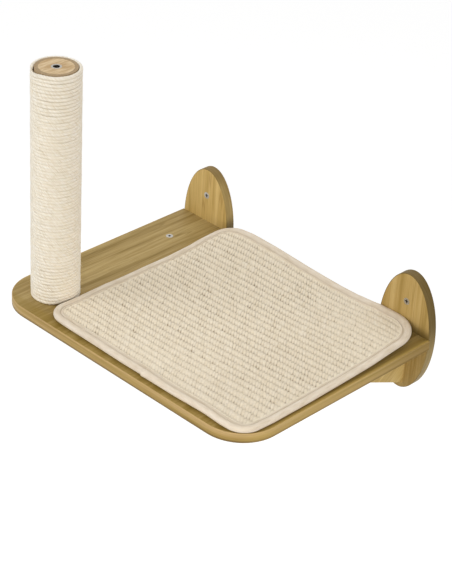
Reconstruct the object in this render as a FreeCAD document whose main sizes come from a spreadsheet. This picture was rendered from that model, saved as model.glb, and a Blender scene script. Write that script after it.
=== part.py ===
import FreeCAD, Part
import math
import os
import re
import Sketcher

# Shelf of a cat climbing wall: a rounded board carried on two oval wall plates with gussets, a roped
# scratching post at its left front corner, and a removable woven mat.
# Origin: midway between the two wall screws, on the wall's surface. X runs right along the wall,
# Y into the wall and Z up. Lengths are millimetres.

SIZES = {
    # shelf board and its edge band
    "board_length": 400.0,
    "board_depth": 302.0,
    "board_thickness": 12.0,
    "board_corner_radius": 50.0,
    "band_thickness": 0.8,
    "band_edge_radius": 0.5,
    # oval wall plates
    "plate_width": 75.0,
    "plate_height": 150.0,
    "plate_thickness": 12.0,
    "plate_side_inset": 39.0,
    "plate_rise": 70.0,
    # gussets under the board
    "gusset_thickness": 15.0,
    "gusset_plate_margin": 8.0,
    "gusset_depth": 125.0,
    "gusset_nose": 5.0,
    # wall screws
    "wall_screw_rise": 34.5,
    "wall_screw_radius": 2.25,
    "wall_neck_radius": 1.8,
    "wall_screw_length": 35.0,
    "wall_head_radius": 4.2,
    "wall_head_height": 2.4,
    "cross_recess_span": 4.6,
    "cross_recess_width": 1.2,
    "cross_recess_depth": 1.7,
    "screw_tip_length": 5.0,
    "screw_tip_radius": 0.3,
    # bolts from the board into barrel nuts in the gussets
    "board_bolt_radius": 2.5,
    "board_bolt_length": 40.0,
    "board_bolt_setback": 61.0,
    "bolt_head_radius": 4.4,
    "bolt_head_height": 2.6,
    "hex_socket_radius": 1.75,
    "hex_socket_depth": 2.0,
    "barrel_nut_radius": 4.0,
    "barrel_nut_length": 13.0,
    "barrel_nut_drop": 20.0,
    # screws from the plates into the gussets
    "plate_screw_radius": 2.0,
    "plate_neck_radius": 1.6,
    "plate_screw_length": 40.0,
    "plate_screw_head_radius": 3.8,
    "plate_screw_head_height": 2.2,
    "plate_screw_drop": 14.0,
    "plate_screw_end": 20.0,
    # dowels between the plates and the board
    "dowel_radius": 3.0,
    "dowel_in_board": 20.0,
    "dowel_in_plate": 8.0,
    "dowel_spread": 40.0,
    # post: tube, plugs, threaded inserts and its bolt
    "post_side_inset": 50.0,
    "post_front_inset": 50.0,
    "post_height": 285.0,
    "tube_radius": 24.0,
    "tube_wall": 4.0,
    "plug_height": 30.0,
    "insert_radius": 6.0,
    "insert_length": 18.0,
    "post_bolt_radius": 3.95,
    "post_bolt_reach": 15.0,
    "post_bolt_head_radius": 7.5,
    "post_bolt_head_height": 5.3,
    "washer_radius": 12.0,
    "washer_thickness": 1.6,
    # rope wound on the tube, and the staples at its two ends
    "rope_diameter": 3.5,
    "rope_gap": 0.46,
    "rope_seat": 0.2,
    "rope_end_margin": 0.5,
    "rope_joint_gap": 1.4,
    "staple_wire": 1.0,
    "staple_width": 8.0,
    "staple_leg": 7.5,
    # mat
    "mat_post_gap": 2.8,
    "mat_right_inset": 5.5,
    "mat_front_inset": 9.0,
    "mat_back_inset": 1.5,
    "mat_corner_radius": 24.0,
    "mat_flat_depth": 143.0,
    "mat_lift": 7.0,
    "tape_thickness": 0.6,
    "tape_width": 13.0,
    "backing_thickness": 1.0,
    "weave_thickness": 2.8,
    # patches that fasten the mat
    "hook_thickness": 1.2,
    "loop_thickness": 1.4,
    "patch_length": 50.0,
    "patch_width": 25.0,
    "patch_corner_radius": 4.0,
    "patch_side_inset": 30.0,
    "patch_front_inset": 18.0,
    "patch_row_gap": 85.0,
    # clearances and the length by which a cut runs past a face
    "hole_clearance": 0.3,
    "snug_clearance": 0.1,
    "thread_clearance": 0.05,
    "cut_overrun": 1.0,
}

ROPE_LENGTHS = ("rope_lower", "rope_middle", "rope_upper")
GAP_SAMPLES_PER_ARC = 12
SIDES = {"left": "-", "right": "+"}

# places worked out from the sizes
BOARD_TOP = "(-wall_screw_rise)"
BOARD_UNDER = "(-wall_screw_rise - board_thickness)"
PLATE_FRONT = "(-plate_thickness)"
PLATE_MIDDLE = "(plate_rise - plate_height / 2 - wall_screw_rise)"
BOARD_FRONT = "(-plate_thickness - board_depth)"
PLATE_X = "(board_length / 2 - plate_side_inset)"
GUSSET_HEIGHT = "(plate_height - plate_rise - board_thickness - gusset_plate_margin)"
PLATE_SCREW_DROPS = {"upper": "plate_screw_drop", "lower": f"({GUSSET_HEIGHT} - plate_screw_end)"}
POST_X = "(post_side_inset - board_length / 2)"
POST_Y = f"({BOARD_FRONT} + post_front_inset)"
TUBE_INSIDE = "(tube_radius - tube_wall)"
INSERT_BORE = "(post_bolt_radius + thread_clearance)"
MAT_LEFT = f"({POST_X} + tube_radius + rope_seat + rope_diameter + mat_post_gap)"
MAT_WIDTH = f"(board_length / 2 - mat_right_inset - {MAT_LEFT})"
MAT_BASE = "(hook_thickness + loop_thickness - tape_thickness)"
MAT_CORE = "(backing_thickness + weave_thickness)"
MAT_RUN = "(board_depth - mat_front_inset - mat_back_inset - mat_flat_depth)"
MAT_BEND = f"(({MAT_RUN} * {MAT_RUN} + mat_lift * mat_lift) / (2 * mat_lift))"

V = FreeCAD.Vector
TO_FRONT = FreeCAD.Rotation(V(1, 0, 0), 90)
TO_WALL = FreeCAD.Rotation(V(1, 0, 0), -90)
TO_RIGHT = FreeCAD.Rotation(V(0, 1, 0), 90)
UPSIDE_DOWN = FreeCAD.Rotation(V(1, 0, 0), 180)
UPRIGHT = FreeCAD.Rotation()

doc = FreeCAD.newDocument("cat_wall_shelf")
sheet = doc.addObject("Spreadsheet::Sheet", "sizes")
for row, (alias, number) in enumerate(SIZES.items(), 1):
    sheet.set(f"A{row}", alias)
    sheet.set(f"B{row}", str(number))
    sheet.setAlias(f"B{row}", alias)
probe = doc.addObject("App::FeaturePython", "formula_probe")
probe.addProperty("App::PropertyFloat", "Value")
doc.recompute()


# Helpers

def size(alias):
    """The number that the sheet holds for an alias."""
    return float(sheet.get(alias))


def formula(text):
    """A formula of alias names as an expression on the sheet's cells."""
    def cell(word):
        return f"sizes.{word[0]}" if word[0] in SIZES else word[0]
    return re.sub(r"[a-z]+(?:_[a-z]+)*", cell, text)


def value_of(text):
    """The number that a formula gives, read through a property that is tied to it."""
    probe.setExpression("Value", formula(text))
    probe.recompute()
    return probe.Value


def bind(thing, **formulas):
    """Ties properties of an object to formulas."""
    for prop, text in formulas.items():
        thing.setExpression(prop, formula(text))


def place(thing, x, y, z, turn=UPRIGHT):
    """Turns an object and ties its position to three formulas."""
    thing.Placement = FreeCAD.Placement(V(0, 0, 0), turn)
    for axis, text in zip("xyz", (x, y, z)):
        thing.setExpression(f"Placement.Base.{axis}", formula(text))


def new_body(name):
    body = doc.addObject("PartDesign::Body", name)
    body.Label = name
    return body


def feature(body, kind, x="0", y="0", z="0", turn=UPRIGHT, **formulas):
    """Adds a primitive to a body, or cuts one from it."""
    made = body.newObject("PartDesign::" + kind, kind)
    bind(made, **formulas)
    place(made, x, y, z, turn)
    return made


def edge_names(solid, wanted):
    """Names of the edges of a feature that pass a test."""
    return [f"Edge{number}" for number, edge in enumerate(solid.Shape.Edges, 1) if wanted(edge)]


def round_edges(body, radius, wanted):
    """Fillets the edges of a body's last feature that pass a test."""
    doc.recompute()
    base = body.Tip
    fillet = body.newObject("PartDesign::Fillet", "Fillet")
    fillet.Base = (base, edge_names(base, wanted))
    bind(fillet, Radius=radius)


def new_sketch(body, role):
    """A sketch on one of a body's own origin planes."""
    sketch = body.newObject("Sketcher::SketchObject", "Sketch")
    plane = next(item for item in body.Origin.OriginFeatures if item.Role == role)
    sketch.AttachmentSupport = (plane, [""])
    sketch.MapMode = "FlatFace"
    return sketch


def constrain(sketch, kind, *places, text):
    """Adds a dimension to a sketch and ties it to a formula."""
    index = sketch.addConstraint(Sketcher.Constraint(kind, *places))
    sketch.setExpression(f"Constraints[{index}]", formula(text))


def join(sketch, first, first_end, second, second_end):
    sketch.addConstraint(Sketcher.Constraint("Coincident", first, first_end, second, second_end))


def pad(body, sketch, length, midplane=False):
    made = body.newObject("PartDesign::Pad", "Pad")
    made.Profile = sketch
    made.Midplane = midplane
    bind(made, Length=length)


def cut(name, base, tool):
    made = doc.addObject("Part::Cut", name)
    made.Label = name
    made.Base = base
    made.Tool = tool
    return made


def group(name, pieces):
    """One named group of separate like solids."""
    made = doc.addObject("Part::Compound", name)
    made.Label = name
    made.Links = pieces
    return made


def is_upright(edge):
    return math.isclose(edge.BoundBox.ZLength, edge.Length, abs_tol=2 * edge.Tolerance)


# Shelf board

def board_slab(name, trim, extra_back, extra_height):
    """The board's outline as a slab: trimmed at the sides and front, longer at the back, taller."""
    slab = new_body(name)
    feature(
        slab, "AdditiveBox",
        x=f"{trim} - board_length / 2", y=f"{trim} - board_depth", z=f"-{extra_height}",
        Length=f"board_length - 2 * {trim}",
        Width=f"board_depth - {trim} + {extra_back}",
        Height=f"board_thickness + 2 * {extra_height}",
    )
    doc.recompute()
    front = slab.Tip.Shape.BoundBox.YMin
    round_edges(
        slab, f"board_corner_radius - {trim}",
        lambda edge: is_upright(edge) and math.isclose(edge.BoundBox.YMin, front),
    )
    place(slab, "0", PLATE_FRONT, BOARD_UNDER)
    return slab


def shelf_board():
    board = board_slab("shelf_board", "band_thickness", "0", "0")
    for sign in SIDES.values():
        middle = f"{sign} {PLATE_X}"
        feature(
            board, "SubtractiveCylinder", x=middle, y="-board_bolt_setback", z="-cut_overrun",
            Radius="board_bolt_radius + hole_clearance", Height="board_thickness + 2 * cut_overrun",
        )
        feature(
            board, "SubtractiveCone", x=middle, y="-board_bolt_setback",
            z="board_thickness - bolt_head_height",
            Radius1="board_bolt_radius + thread_clearance",
            Radius2="bolt_head_radius + thread_clearance", Height="bolt_head_height",
        )
        for dowel_sign in SIDES.values():
            feature(
                board, "SubtractiveCylinder", turn=TO_FRONT,
                x=f"{middle} {dowel_sign} dowel_spread / 2", y="cut_overrun", z="board_thickness / 2",
                Radius="dowel_radius + snug_clearance", Height="dowel_in_board + 2 * cut_overrun",
            )
    feature(
        board, "SubtractiveCylinder", x=POST_X, y="post_front_inset - board_depth", z="-cut_overrun",
        Radius="post_bolt_radius + hole_clearance", Height="board_thickness + 2 * cut_overrun",
    )
    return board


def shelf_edge_band():
    outside = board_slab("band_outside", "0", "0", "0")
    doc.recompute()
    box = outside.Tip.Shape.BoundBox

    def on_rim(edge):
        flat = math.isclose(edge.BoundBox.ZMin, edge.BoundBox.ZMax, abs_tol=edge.Tolerance)
        along_back = math.isclose(edge.BoundBox.YMin, box.YMax, abs_tol=edge.Tolerance)
        return flat and not along_back

    round_edges(outside, "band_edge_radius", on_rim)
    inside = board_slab("band_inside", "band_thickness", "cut_overrun", "cut_overrun")
    return cut("shelf_edge_band", outside, inside)


# Wall plates

def oval(name, trim, extra, edge_radius=None):
    """An upright oval slab in front of the wall, trimmed all round, longer by extra at both faces."""
    slab = new_body(name)
    sketch = new_sketch(slab, "XZ_Plane")
    tall = size("plate_height") / 2
    wide = size("plate_width") / 2
    ellipse = sketch.addGeometry(Part.Ellipse(V(0, tall, 0), V(wide, 0, 0), V(0, 0, 0)))
    sketch.exposeInternalGeometry(ellipse)
    long_axis = ellipse + 1
    short_axis = ellipse + 2
    join(sketch, ellipse, 3, -1, 1)
    sketch.addConstraint(Sketcher.Constraint("Vertical", long_axis))
    constrain(sketch, "Distance", long_axis, 2 * tall, text=f"plate_height - 2 * {trim}")
    constrain(sketch, "Distance", short_axis, 2 * wide, text=f"plate_width - 2 * {trim}")
    sketch.setExpression("AttachmentOffset.Base.z", formula(f"-{extra}"))
    pad(slab, sketch, f"plate_thickness + 2 * {extra}")
    if edge_radius:
        round_edges(slab, edge_radius, lambda edge: edge.isClosed())
    return slab


def wall_plate(side, sign):
    plate = oval(f"{side}_wall_plate", "band_thickness", "0")
    feature(
        plate, "SubtractiveCylinder", turn=TO_FRONT, y="cut_overrun", z=f"-{PLATE_MIDDLE}",
        Radius="wall_screw_radius + hole_clearance", Height="plate_thickness + 2 * cut_overrun",
    )
    feature(
        plate, "SubtractiveCone", turn=TO_FRONT, y="wall_head_height - plate_thickness", z=f"-{PLATE_MIDDLE}",
        Radius1="wall_neck_radius + thread_clearance",
        Radius2="wall_head_radius + thread_clearance", Height="wall_head_height",
    )
    for drop in PLATE_SCREW_DROPS.values():
        height = f"{BOARD_UNDER} - {drop} - {PLATE_MIDDLE}"
        feature(
            plate, "SubtractiveCylinder", turn=TO_FRONT, y="cut_overrun", z=height,
            Radius="plate_screw_radius + hole_clearance", Height="plate_thickness + 2 * cut_overrun",
        )
        feature(
            plate, "SubtractiveCone", turn=TO_WALL, y="-plate_screw_head_height", z=height,
            Radius1="plate_neck_radius + thread_clearance",
            Radius2="plate_screw_head_radius + thread_clearance", Height="plate_screw_head_height",
        )
    for dowel_sign in SIDES.values():
        feature(
            plate, "SubtractiveCylinder", turn=TO_WALL, x=f"{dowel_sign} dowel_spread / 2",
            y="-plate_thickness - cut_overrun", z=f"{BOARD_UNDER} + board_thickness / 2 - {PLATE_MIDDLE}",
            Radius="dowel_radius + snug_clearance", Height="dowel_in_plate + 2 * cut_overrun",
        )
    place(plate, f"{sign} {PLATE_X}", "0", PLATE_MIDDLE)
    return plate


def plate_edge_band(side, sign):
    outside = oval(f"{side}_oval_outside", "0", "0", "band_edge_radius")
    inside = oval(f"{side}_oval_inside", "band_thickness", "cut_overrun")
    band = cut(f"{side}_plate_edge_band", outside, inside)
    place(band, f"{sign} {PLATE_X}", "0", PLATE_MIDDLE)
    return band


# Gussets

def gusset(side, sign):
    """A triangle under the board: Y runs forward from the plate and Z down from the board."""
    bracket = new_body(f"{side}_gusset")
    sketch = new_sketch(bracket, "YZ_Plane")
    depth = size("gusset_depth")
    nose = size("gusset_nose")
    height = value_of(GUSSET_HEIGHT)
    corners = [V(0, 0, 0), V(depth, 0, 0), V(depth, nose, 0), V(0, height, 0)]
    lines = [
        sketch.addGeometry(Part.LineSegment(start, end))
        for start, end in zip(corners, corners[1:] + corners[:1])
    ]
    for line, following in zip(lines, lines[1:] + lines[:1]):
        join(sketch, line, 2, following, 1)
    join(sketch, lines[0], 1, -1, 1)
    for line, direction in ((0, "Horizontal"), (1, "Vertical"), (3, "Vertical")):
        sketch.addConstraint(Sketcher.Constraint(direction, lines[line]))
    constrain(sketch, "Distance", lines[0], depth, text="gusset_depth")
    constrain(sketch, "Distance", lines[1], nose, text="gusset_nose")
    constrain(sketch, "Distance", lines[3], height, text=GUSSET_HEIGHT)
    pad(bracket, sketch, "gusset_thickness", midplane=True)
    feature(
        bracket, "SubtractiveCylinder", y="board_bolt_setback", z="-cut_overrun",
        Radius="board_bolt_radius + hole_clearance",
        Height="board_bolt_length - board_thickness + 2 * cut_overrun",
    )
    feature(
        bracket, "SubtractiveCylinder", turn=TO_RIGHT, x="-gusset_thickness / 2 - cut_overrun",
        y="board_bolt_setback", z="barrel_nut_drop",
        Radius="barrel_nut_radius + snug_clearance", Height="gusset_thickness + 2 * cut_overrun",
    )
    for drop in PLATE_SCREW_DROPS.values():
        feature(
            bracket, "SubtractiveCylinder", turn=TO_WALL, y="-cut_overrun", z=drop,
            Radius="plate_screw_radius + thread_clearance",
            Height="plate_screw_length - plate_thickness + 2 * cut_overrun",
        )
    place(bracket, f"{sign} {PLATE_X}", PLATE_FRONT, BOARD_UNDER, UPSIDE_DOWN)
    return bracket


# Fasteners

def countersunk(name, shank, length, head, head_height):
    """A countersunk fastener whose head ends at Z = 0 and whose shank points down."""
    made = new_body(name)
    feature(
        made, "AdditiveCylinder", z=f"-{length}", Radius=shank, Height=f"{length} - {head_height}",
    )
    feature(made, "AdditiveCone", z=f"-{head_height}", Radius1=shank, Radius2=head, Height=head_height)
    return made


def pointed_screw(name, thread, length, neck, head, head_height):
    """A cross-recess countersunk screw with a plain neck through a plate, then its thread and point."""
    screw = countersunk(name, neck, "plate_thickness", head, head_height)
    feature(
        screw, "AdditiveCylinder", z=f"screw_tip_length - {length}",
        Radius=thread, Height=f"{length} - screw_tip_length - plate_thickness",
    )
    feature(
        screw, "AdditiveCone", z=f"-{length}",
        Radius1="screw_tip_radius", Radius2=thread, Height="screw_tip_length",
    )
    slot = {"Height": "cross_recess_depth + cut_overrun"}
    for along, across in (("Length", "Width"), ("Width", "Length")):
        span = {along: "cross_recess_span", across: "cross_recess_width"}
        feature(
            screw, "SubtractiveBox", z="-cross_recess_depth",
            x=f"-{span['Length']} / 2", y=f"-{span['Width']} / 2", **span, **slot,
        )
    return screw


def wall_screws():
    screws = []
    for side, sign in SIDES.items():
        screw = pointed_screw(
            f"{side}_wall_screw", "wall_screw_radius", "wall_screw_length",
            "wall_neck_radius", "wall_head_radius", "wall_head_height",
        )
        place(screw, f"{sign} {PLATE_X}", PLATE_FRONT, "0", TO_FRONT)
        screws.append(screw)
    return group("wall_screws", screws)


def board_bolts():
    bolts = []
    for side, sign in SIDES.items():
        bolt = countersunk(
            f"{side}_board_bolt", "board_bolt_radius", "board_bolt_length",
            "bolt_head_radius", "bolt_head_height",
        )
        socket = feature(
            bolt, "SubtractivePrism", z="-hex_socket_depth",
            Circumradius="hex_socket_radius", Height="hex_socket_depth + cut_overrun",
        )
        socket.Polygon = 6
        place(bolt, f"{sign} {PLATE_X}", f"{PLATE_FRONT} - board_bolt_setback", BOARD_TOP)
        bolts.append(bolt)
    return group("board_bolts", bolts)


def barrel_nuts():
    nuts = []
    for side, sign in SIDES.items():
        nut = new_body(f"{side}_barrel_nut")
        feature(
            nut, "AdditiveCylinder", turn=TO_RIGHT, x="-barrel_nut_length / 2",
            Radius="barrel_nut_radius", Height="barrel_nut_length",
        )
        feature(
            nut, "SubtractiveCylinder", z="-barrel_nut_radius - cut_overrun",
            Radius="board_bolt_radius + thread_clearance", Height="2 * (barrel_nut_radius + cut_overrun)",
        )
        place(
            nut, f"{sign} {PLATE_X}", f"{PLATE_FRONT} - board_bolt_setback",
            f"{BOARD_UNDER} - barrel_nut_drop",
        )
        nuts.append(nut)
    return group("barrel_nuts", nuts)


def plate_screws():
    screws = []
    for side, sign in SIDES.items():
        for row, drop in PLATE_SCREW_DROPS.items():
            screw = pointed_screw(
                f"{side}_{row}_plate_screw", "plate_screw_radius", "plate_screw_length",
                "plate_neck_radius", "plate_screw_head_radius", "plate_screw_head_height",
            )
            place(screw, f"{sign} {PLATE_X}", "0", f"{BOARD_UNDER} - {drop}", TO_WALL)
            screws.append(screw)
    return group("plate_screws", screws)


def board_dowels():
    dowels = []
    for side, sign in SIDES.items():
        for dowel_side, dowel_sign in SIDES.items():
            dowel = new_body(f"{side}_plate_{dowel_side}_dowel")
            feature(
                dowel, "AdditiveCylinder", Radius="dowel_radius", Height="dowel_in_board + dowel_in_plate",
            )
            place(
                dowel, f"{sign} {PLATE_X} {dowel_sign} dowel_spread / 2",
                f"{PLATE_FRONT} + dowel_in_plate", f"{BOARD_UNDER} + board_thickness / 2", TO_FRONT,
            )
            dowels.append(dowel)
    return group("board_dowels", dowels)


# Post

def post_core_tube():
    tube = new_body("post_core_tube")
    feature(tube, "AdditiveCylinder", Radius="tube_radius", Height="post_height")
    feature(
        tube, "SubtractiveCylinder", z="-cut_overrun",
        Radius=TUBE_INSIDE, Height="post_height + 2 * cut_overrun",
    )
    place(tube, POST_X, POST_Y, BOARD_TOP)
    return tube


def post_plug(name, z, turn):
    """A plug with a pocket for its insert at Z = 0, deeper than the insert by the cut's overrun."""
    plug = new_body(name)
    feature(plug, "AdditiveCylinder", Radius=f"{TUBE_INSIDE} - snug_clearance", Height="plug_height")
    feature(
        plug, "SubtractiveCylinder", z="-cut_overrun",
        Radius="insert_radius + snug_clearance", Height="insert_length + 2 * cut_overrun",
    )
    place(plug, POST_X, POST_Y, z, turn)
    return plug


def post_inserts():
    sleeves = []
    top = f"{BOARD_TOP} + post_height - insert_length"
    for name, z in (("bottom_insert", BOARD_TOP), ("top_insert", top)):
        sleeve = new_body(name)
        feature(sleeve, "AdditiveCylinder", Radius="insert_radius", Height="insert_length")
        feature(
            sleeve, "SubtractiveCylinder", z="-cut_overrun",
            Radius=INSERT_BORE, Height="insert_length + 2 * cut_overrun",
        )
        place(sleeve, POST_X, POST_Y, z)
        sleeves.append(sleeve)
    return group("post_inserts", sleeves)


def post_bolt():
    """Hexagon bolt under the board, its head's bearing face at Z = 0."""
    bolt = new_body("post_bolt")
    feature(
        bolt, "AdditiveCylinder", Radius="post_bolt_radius",
        Height="washer_thickness + board_thickness + post_bolt_reach",
    )
    head = feature(
        bolt, "AdditivePrism", z="-post_bolt_head_height",
        Circumradius="post_bolt_head_radius", Height="post_bolt_head_height",
    )
    head.Polygon = 6
    place(bolt, POST_X, POST_Y, f"{BOARD_UNDER} - washer_thickness")
    return bolt


def post_bolt_washer():
    washer = new_body("post_bolt_washer")
    feature(washer, "AdditiveCylinder", Radius="washer_radius", Height="washer_thickness")
    feature(
        washer, "SubtractiveCylinder", z="-cut_overrun",
        Radius="post_bolt_radius + hole_clearance", Height="washer_thickness + 2 * cut_overrun",
    )
    place(washer, POST_X, POST_Y, f"{BOARD_UNDER} - washer_thickness")
    return washer


# Rope

def half_arc(start, corner, end):
    """The arc from start to end whose end tangents meet at corner."""
    chord = end - start
    middle = (start + end) / 2
    turn = (corner - start).getAngle(end - corner)
    sagitta = chord.Length / 2 * math.tan(turn / 4)
    return Part.Arc(start, middle + (corner - middle).normalize() * sagitta, end).toShape()


def biarc(start, start_way, end, end_way):
    """Two arcs that join start to end smoothly, leaving along start_way and arriving along end_way."""
    across = end - start
    both = start_way + end_way
    square = 2 * (start_way.dot(end_way) - 1)
    linear = -2 * across.dot(both)
    reach = (-linear - math.sqrt(linear ** 2 - 4 * square * across.dot(across))) / (2 * square)
    first = start + start_way * reach
    second = end - end_way * reach
    joint = (first + second) / 2
    return [half_arc(start, first, joint), half_arc(joint, second, end)]


class Winding:
    """The rope's helix, shared out over lengths of a whole number of half turns."""

    def __init__(self):
        self.diameter = size("rope_diameter")
        self.radius = size("tube_radius") + size("rope_seat") + self.diameter / 2
        self.start = size("rope_end_margin") + self.diameter / 2
        rise = size("post_height") - 2 * self.start
        stub_turn = math.atan(self.diameter / self.radius)
        self.joint = 2 * stub_turn + size("rope_joint_gap") / self.radius
        tight = self.diameter + size("rope_gap")
        count = len(ROPE_LENGTHS)
        joints = (count - 1) * self.joint
        self.halves = math.floor((2 * math.pi * rise / tight - joints) / (count * math.pi))
        self.climb = rise / (count * self.halves * math.pi + joints)

    def point(self, angle):
        return V(
            self.radius * math.cos(angle), self.radius * math.sin(angle), self.start + self.climb * angle,
        )

    def way(self, angle):
        return V(-self.radius * math.sin(angle), self.radius * math.cos(angle), self.climb).normalize()

    def path(self, number):
        """Edges of one length: half turns between two straight ends one rope diameter long."""
        first = number * (self.halves * math.pi + self.joint)
        angles = [first + half * math.pi for half in range(self.halves + 1)]
        begin = self.point(angles[0])
        finish = self.point(angles[-1])
        edges = [Part.LineSegment(begin - self.way(angles[0]) * self.diameter, begin).toShape()]
        for low, high in zip(angles, angles[1:]):
            edges += biarc(self.point(low), self.way(low), self.point(high), self.way(high))
        edges.append(Part.LineSegment(finish, finish + self.way(angles[-1]) * self.diameter).toShape())
        return edges


def least_gap(edges, diameter):
    """Least gap of a tube to itself, on points of its middle line at least a half turn apart."""
    points = []
    for edge in edges:
        points += edge.discretize(GAP_SAMPLES_PER_ARC)[:-1]
    half_turn = 2 * GAP_SAMPLES_PER_ARC
    two_turns = 4 * half_turn
    return min(
        point.distanceToPoint(other)
        for index, point in enumerate(points)
        for other in points[index + half_turn:index + two_turns]
    ) - diameter


def ropes():
    winding = Winding()
    made = []
    for number, name in enumerate(ROPE_LENGTHS):
        edges = winding.path(number)
        path = Part.Wire(edges)
        begin = edges[0].firstVertex().Point
        way = edges[0].lastVertex().Point - begin
        profile = Part.Wire([Part.Circle(begin, way, winding.diameter / 2).toShape()])
        rope = doc.addObject("Part::Feature", name)
        rope.Label = name
        rope.Shape = path.makePipeShell([profile], True, False)
        place(rope, POST_X, POST_Y, BOARD_TOP)
        full = math.pi * winding.diameter ** 2 / 4 * path.Length
        print(
            f"{name}: {winding.halves / 2} loops, length {path.Length:.0f} mm,"
            f" least gap {least_gap(edges, winding.diameter):.2f} mm,"
            f" volume {rope.Shape.Volume / full:.4f} of section times length"
        )
        made.append(rope)
    return made


def rope_staples():
    """A staple of square wire over each end of the rope, its legs through the rope into the tube."""
    staples = []
    outside = "(tube_radius + rope_seat + rope_diameter)"
    low = "(rope_end_margin + rope_diameter)"
    for name, z in (("bottom_staple", low), ("top_staple", f"post_height - {low}")):
        staple = new_body(name)
        feature(
            staple, "AdditiveBox", x="-staple_wire / 2", y="-staple_width / 2", z="-staple_wire / 2",
            Length="staple_leg", Width="staple_width", Height="staple_wire",
        )
        feature(
            staple, "SubtractiveBox",
            x="staple_wire / 2", y="staple_wire - staple_width / 2", z="-staple_wire",
            Length="staple_leg", Width="staple_width - 2 * staple_wire", Height="2 * staple_wire",
        )
        place(staple, f"{POST_X} - {outside}", POST_Y, f"{BOARD_TOP} + {z}")
        staples.append(staple)
    return group("rope_staples", staples)


# Mat

class MatGuess:
    """Corner points of a mat layer's section, worked out from the numbers in the sheet."""

    def __init__(self, inset, low, high):
        inset, low, high, run, base, bend = (
            value_of(text) for text in (inset, low, high, MAT_RUN, MAT_BASE, MAT_BEND)
        )
        start = size("mat_front_inset") + size("mat_flat_depth")
        front = size("mat_front_inset") + inset
        angle = math.asin((run - inset) / bend)
        self.centre = V(start, base + bend, 0)
        self.front_low = V(front, low, 0)
        self.front_high = V(front, high, 0)
        self.bend_low, self.middle_low, self.back_low = self.arc(base + bend - low, angle)
        self.bend_high, self.middle_high, self.back_high = self.arc(base + bend - high, angle)

    def arc(self, radius, angle):
        return [
            self.centre + V(radius * math.sin(turn), -radius * math.cos(turn), 0)
            for turn in (0, angle / 2, angle)
        ]


def mat_slab(name, inset, low, high):
    """A layer of the mat between two heights over the board, drawn in by inset all round.

    It lies flat from its front edge and then bends up along an arc to its lifted back edge.
    """
    slab = new_body(name)
    sketch = new_sketch(slab, "YZ_Plane")
    bend_start = "(mat_front_inset + mat_flat_depth)"
    bend = f"({MAT_BASE} + {MAT_BEND})"
    reach = f"({MAT_RUN} - {inset}) / {MAT_BEND}"
    guess = MatGuess(inset, low, high)
    bottom = sketch.addGeometry(Part.LineSegment(guess.front_low, guess.bend_low))
    under = sketch.addGeometry(Part.Arc(guess.bend_low, guess.middle_low, guess.back_low))
    back = sketch.addGeometry(Part.LineSegment(guess.back_low, guess.back_high))
    over = sketch.addGeometry(Part.Arc(guess.back_high, guess.middle_high, guess.bend_high))
    top = sketch.addGeometry(Part.LineSegment(guess.bend_high, guess.front_high))
    front = sketch.addGeometry(Part.LineSegment(guess.front_high, guess.front_low))
    join(sketch, bottom, 2, under, 1)
    join(sketch, under, 2, back, 1)
    join(sketch, back, 2, over, 2)
    join(sketch, over, 1, top, 1)
    join(sketch, top, 2, front, 1)
    join(sketch, front, 2, bottom, 1)
    join(sketch, under, 3, over, 3)
    for line in (bottom, top):
        sketch.addConstraint(Sketcher.Constraint("Horizontal", line))
    sketch.addConstraint(Sketcher.Constraint("Vertical", front))
    sketch.addConstraint(Sketcher.Constraint("PointOnObject", under, 3, back))
    constrain(sketch, "DistanceX", -1, 1, under, 3, guess.centre.x, text=bend_start)
    constrain(sketch, "DistanceY", -1, 1, under, 3, guess.centre.y, text=bend)
    constrain(sketch, "DistanceX", -1, 1, bottom, 1, guess.front_low.x, text=f"mat_front_inset + {inset}")
    constrain(sketch, "DistanceY", -1, 1, bottom, 1, guess.front_low.y, text=low)
    constrain(sketch, "DistanceY", -1, 1, top, 2, guess.front_high.y, text=high)
    for end in ((bottom, 2), (top, 1)):
        constrain(sketch, "DistanceX", -1, 1, *end, guess.centre.x, text=bend_start)
    constrain(
        sketch, "DistanceX", -1, 1, under, 2, guess.back_low.x,
        text=f"{bend_start} + ({bend} - {low}) * {reach}",
    )
    pad(slab, sketch, f"{MAT_WIDTH} - 2 * {inset}")
    doc.recompute()
    box = slab.Tip.Shape.BoundBox

    def at_corner(edge):
        at_side = math.isclose(edge.BoundBox.XLength, 0, abs_tol=2 * edge.Tolerance)
        at_end = edge.BoundBox.YLength < edge.BoundBox.ZLength
        return at_side and at_end and box.XLength > edge.Length

    round_edges(slab, f"mat_corner_radius - {inset}", at_corner)
    place(slab, f"{MAT_LEFT} + {inset}", BOARD_FRONT, BOARD_TOP)
    return slab


def mat_pieces():
    """The mat's weave, its backing and the tape folded round their edges."""
    tape_low = MAT_BASE
    core_low = f"({MAT_BASE} + tape_thickness)"
    weave_low = f"({core_low} + backing_thickness)"
    core_high = f"({core_low} + {MAT_CORE})"
    tape_high = f"({core_high} + tape_thickness)"
    backing = mat_slab("mat_backing", "tape_thickness", core_low, weave_low)
    weave = mat_slab("mat_panel", "tape_thickness", weave_low, core_high)
    folded = mat_slab("tape_outside", "0", tape_low, tape_high)
    filling = mat_slab(
        "tape_filling", "(tape_thickness - thread_clearance)",
        f"({core_low} - thread_clearance)", f"({core_high} + thread_clearance)",
    )
    window = mat_slab(
        "tape_window", "tape_width", f"({tape_low} - cut_overrun)", f"({tape_high} + cut_overrun)",
    )
    binding = cut("mat_binding", cut("tape_frame", folded, window), filling)
    return [weave, backing, binding]


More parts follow.
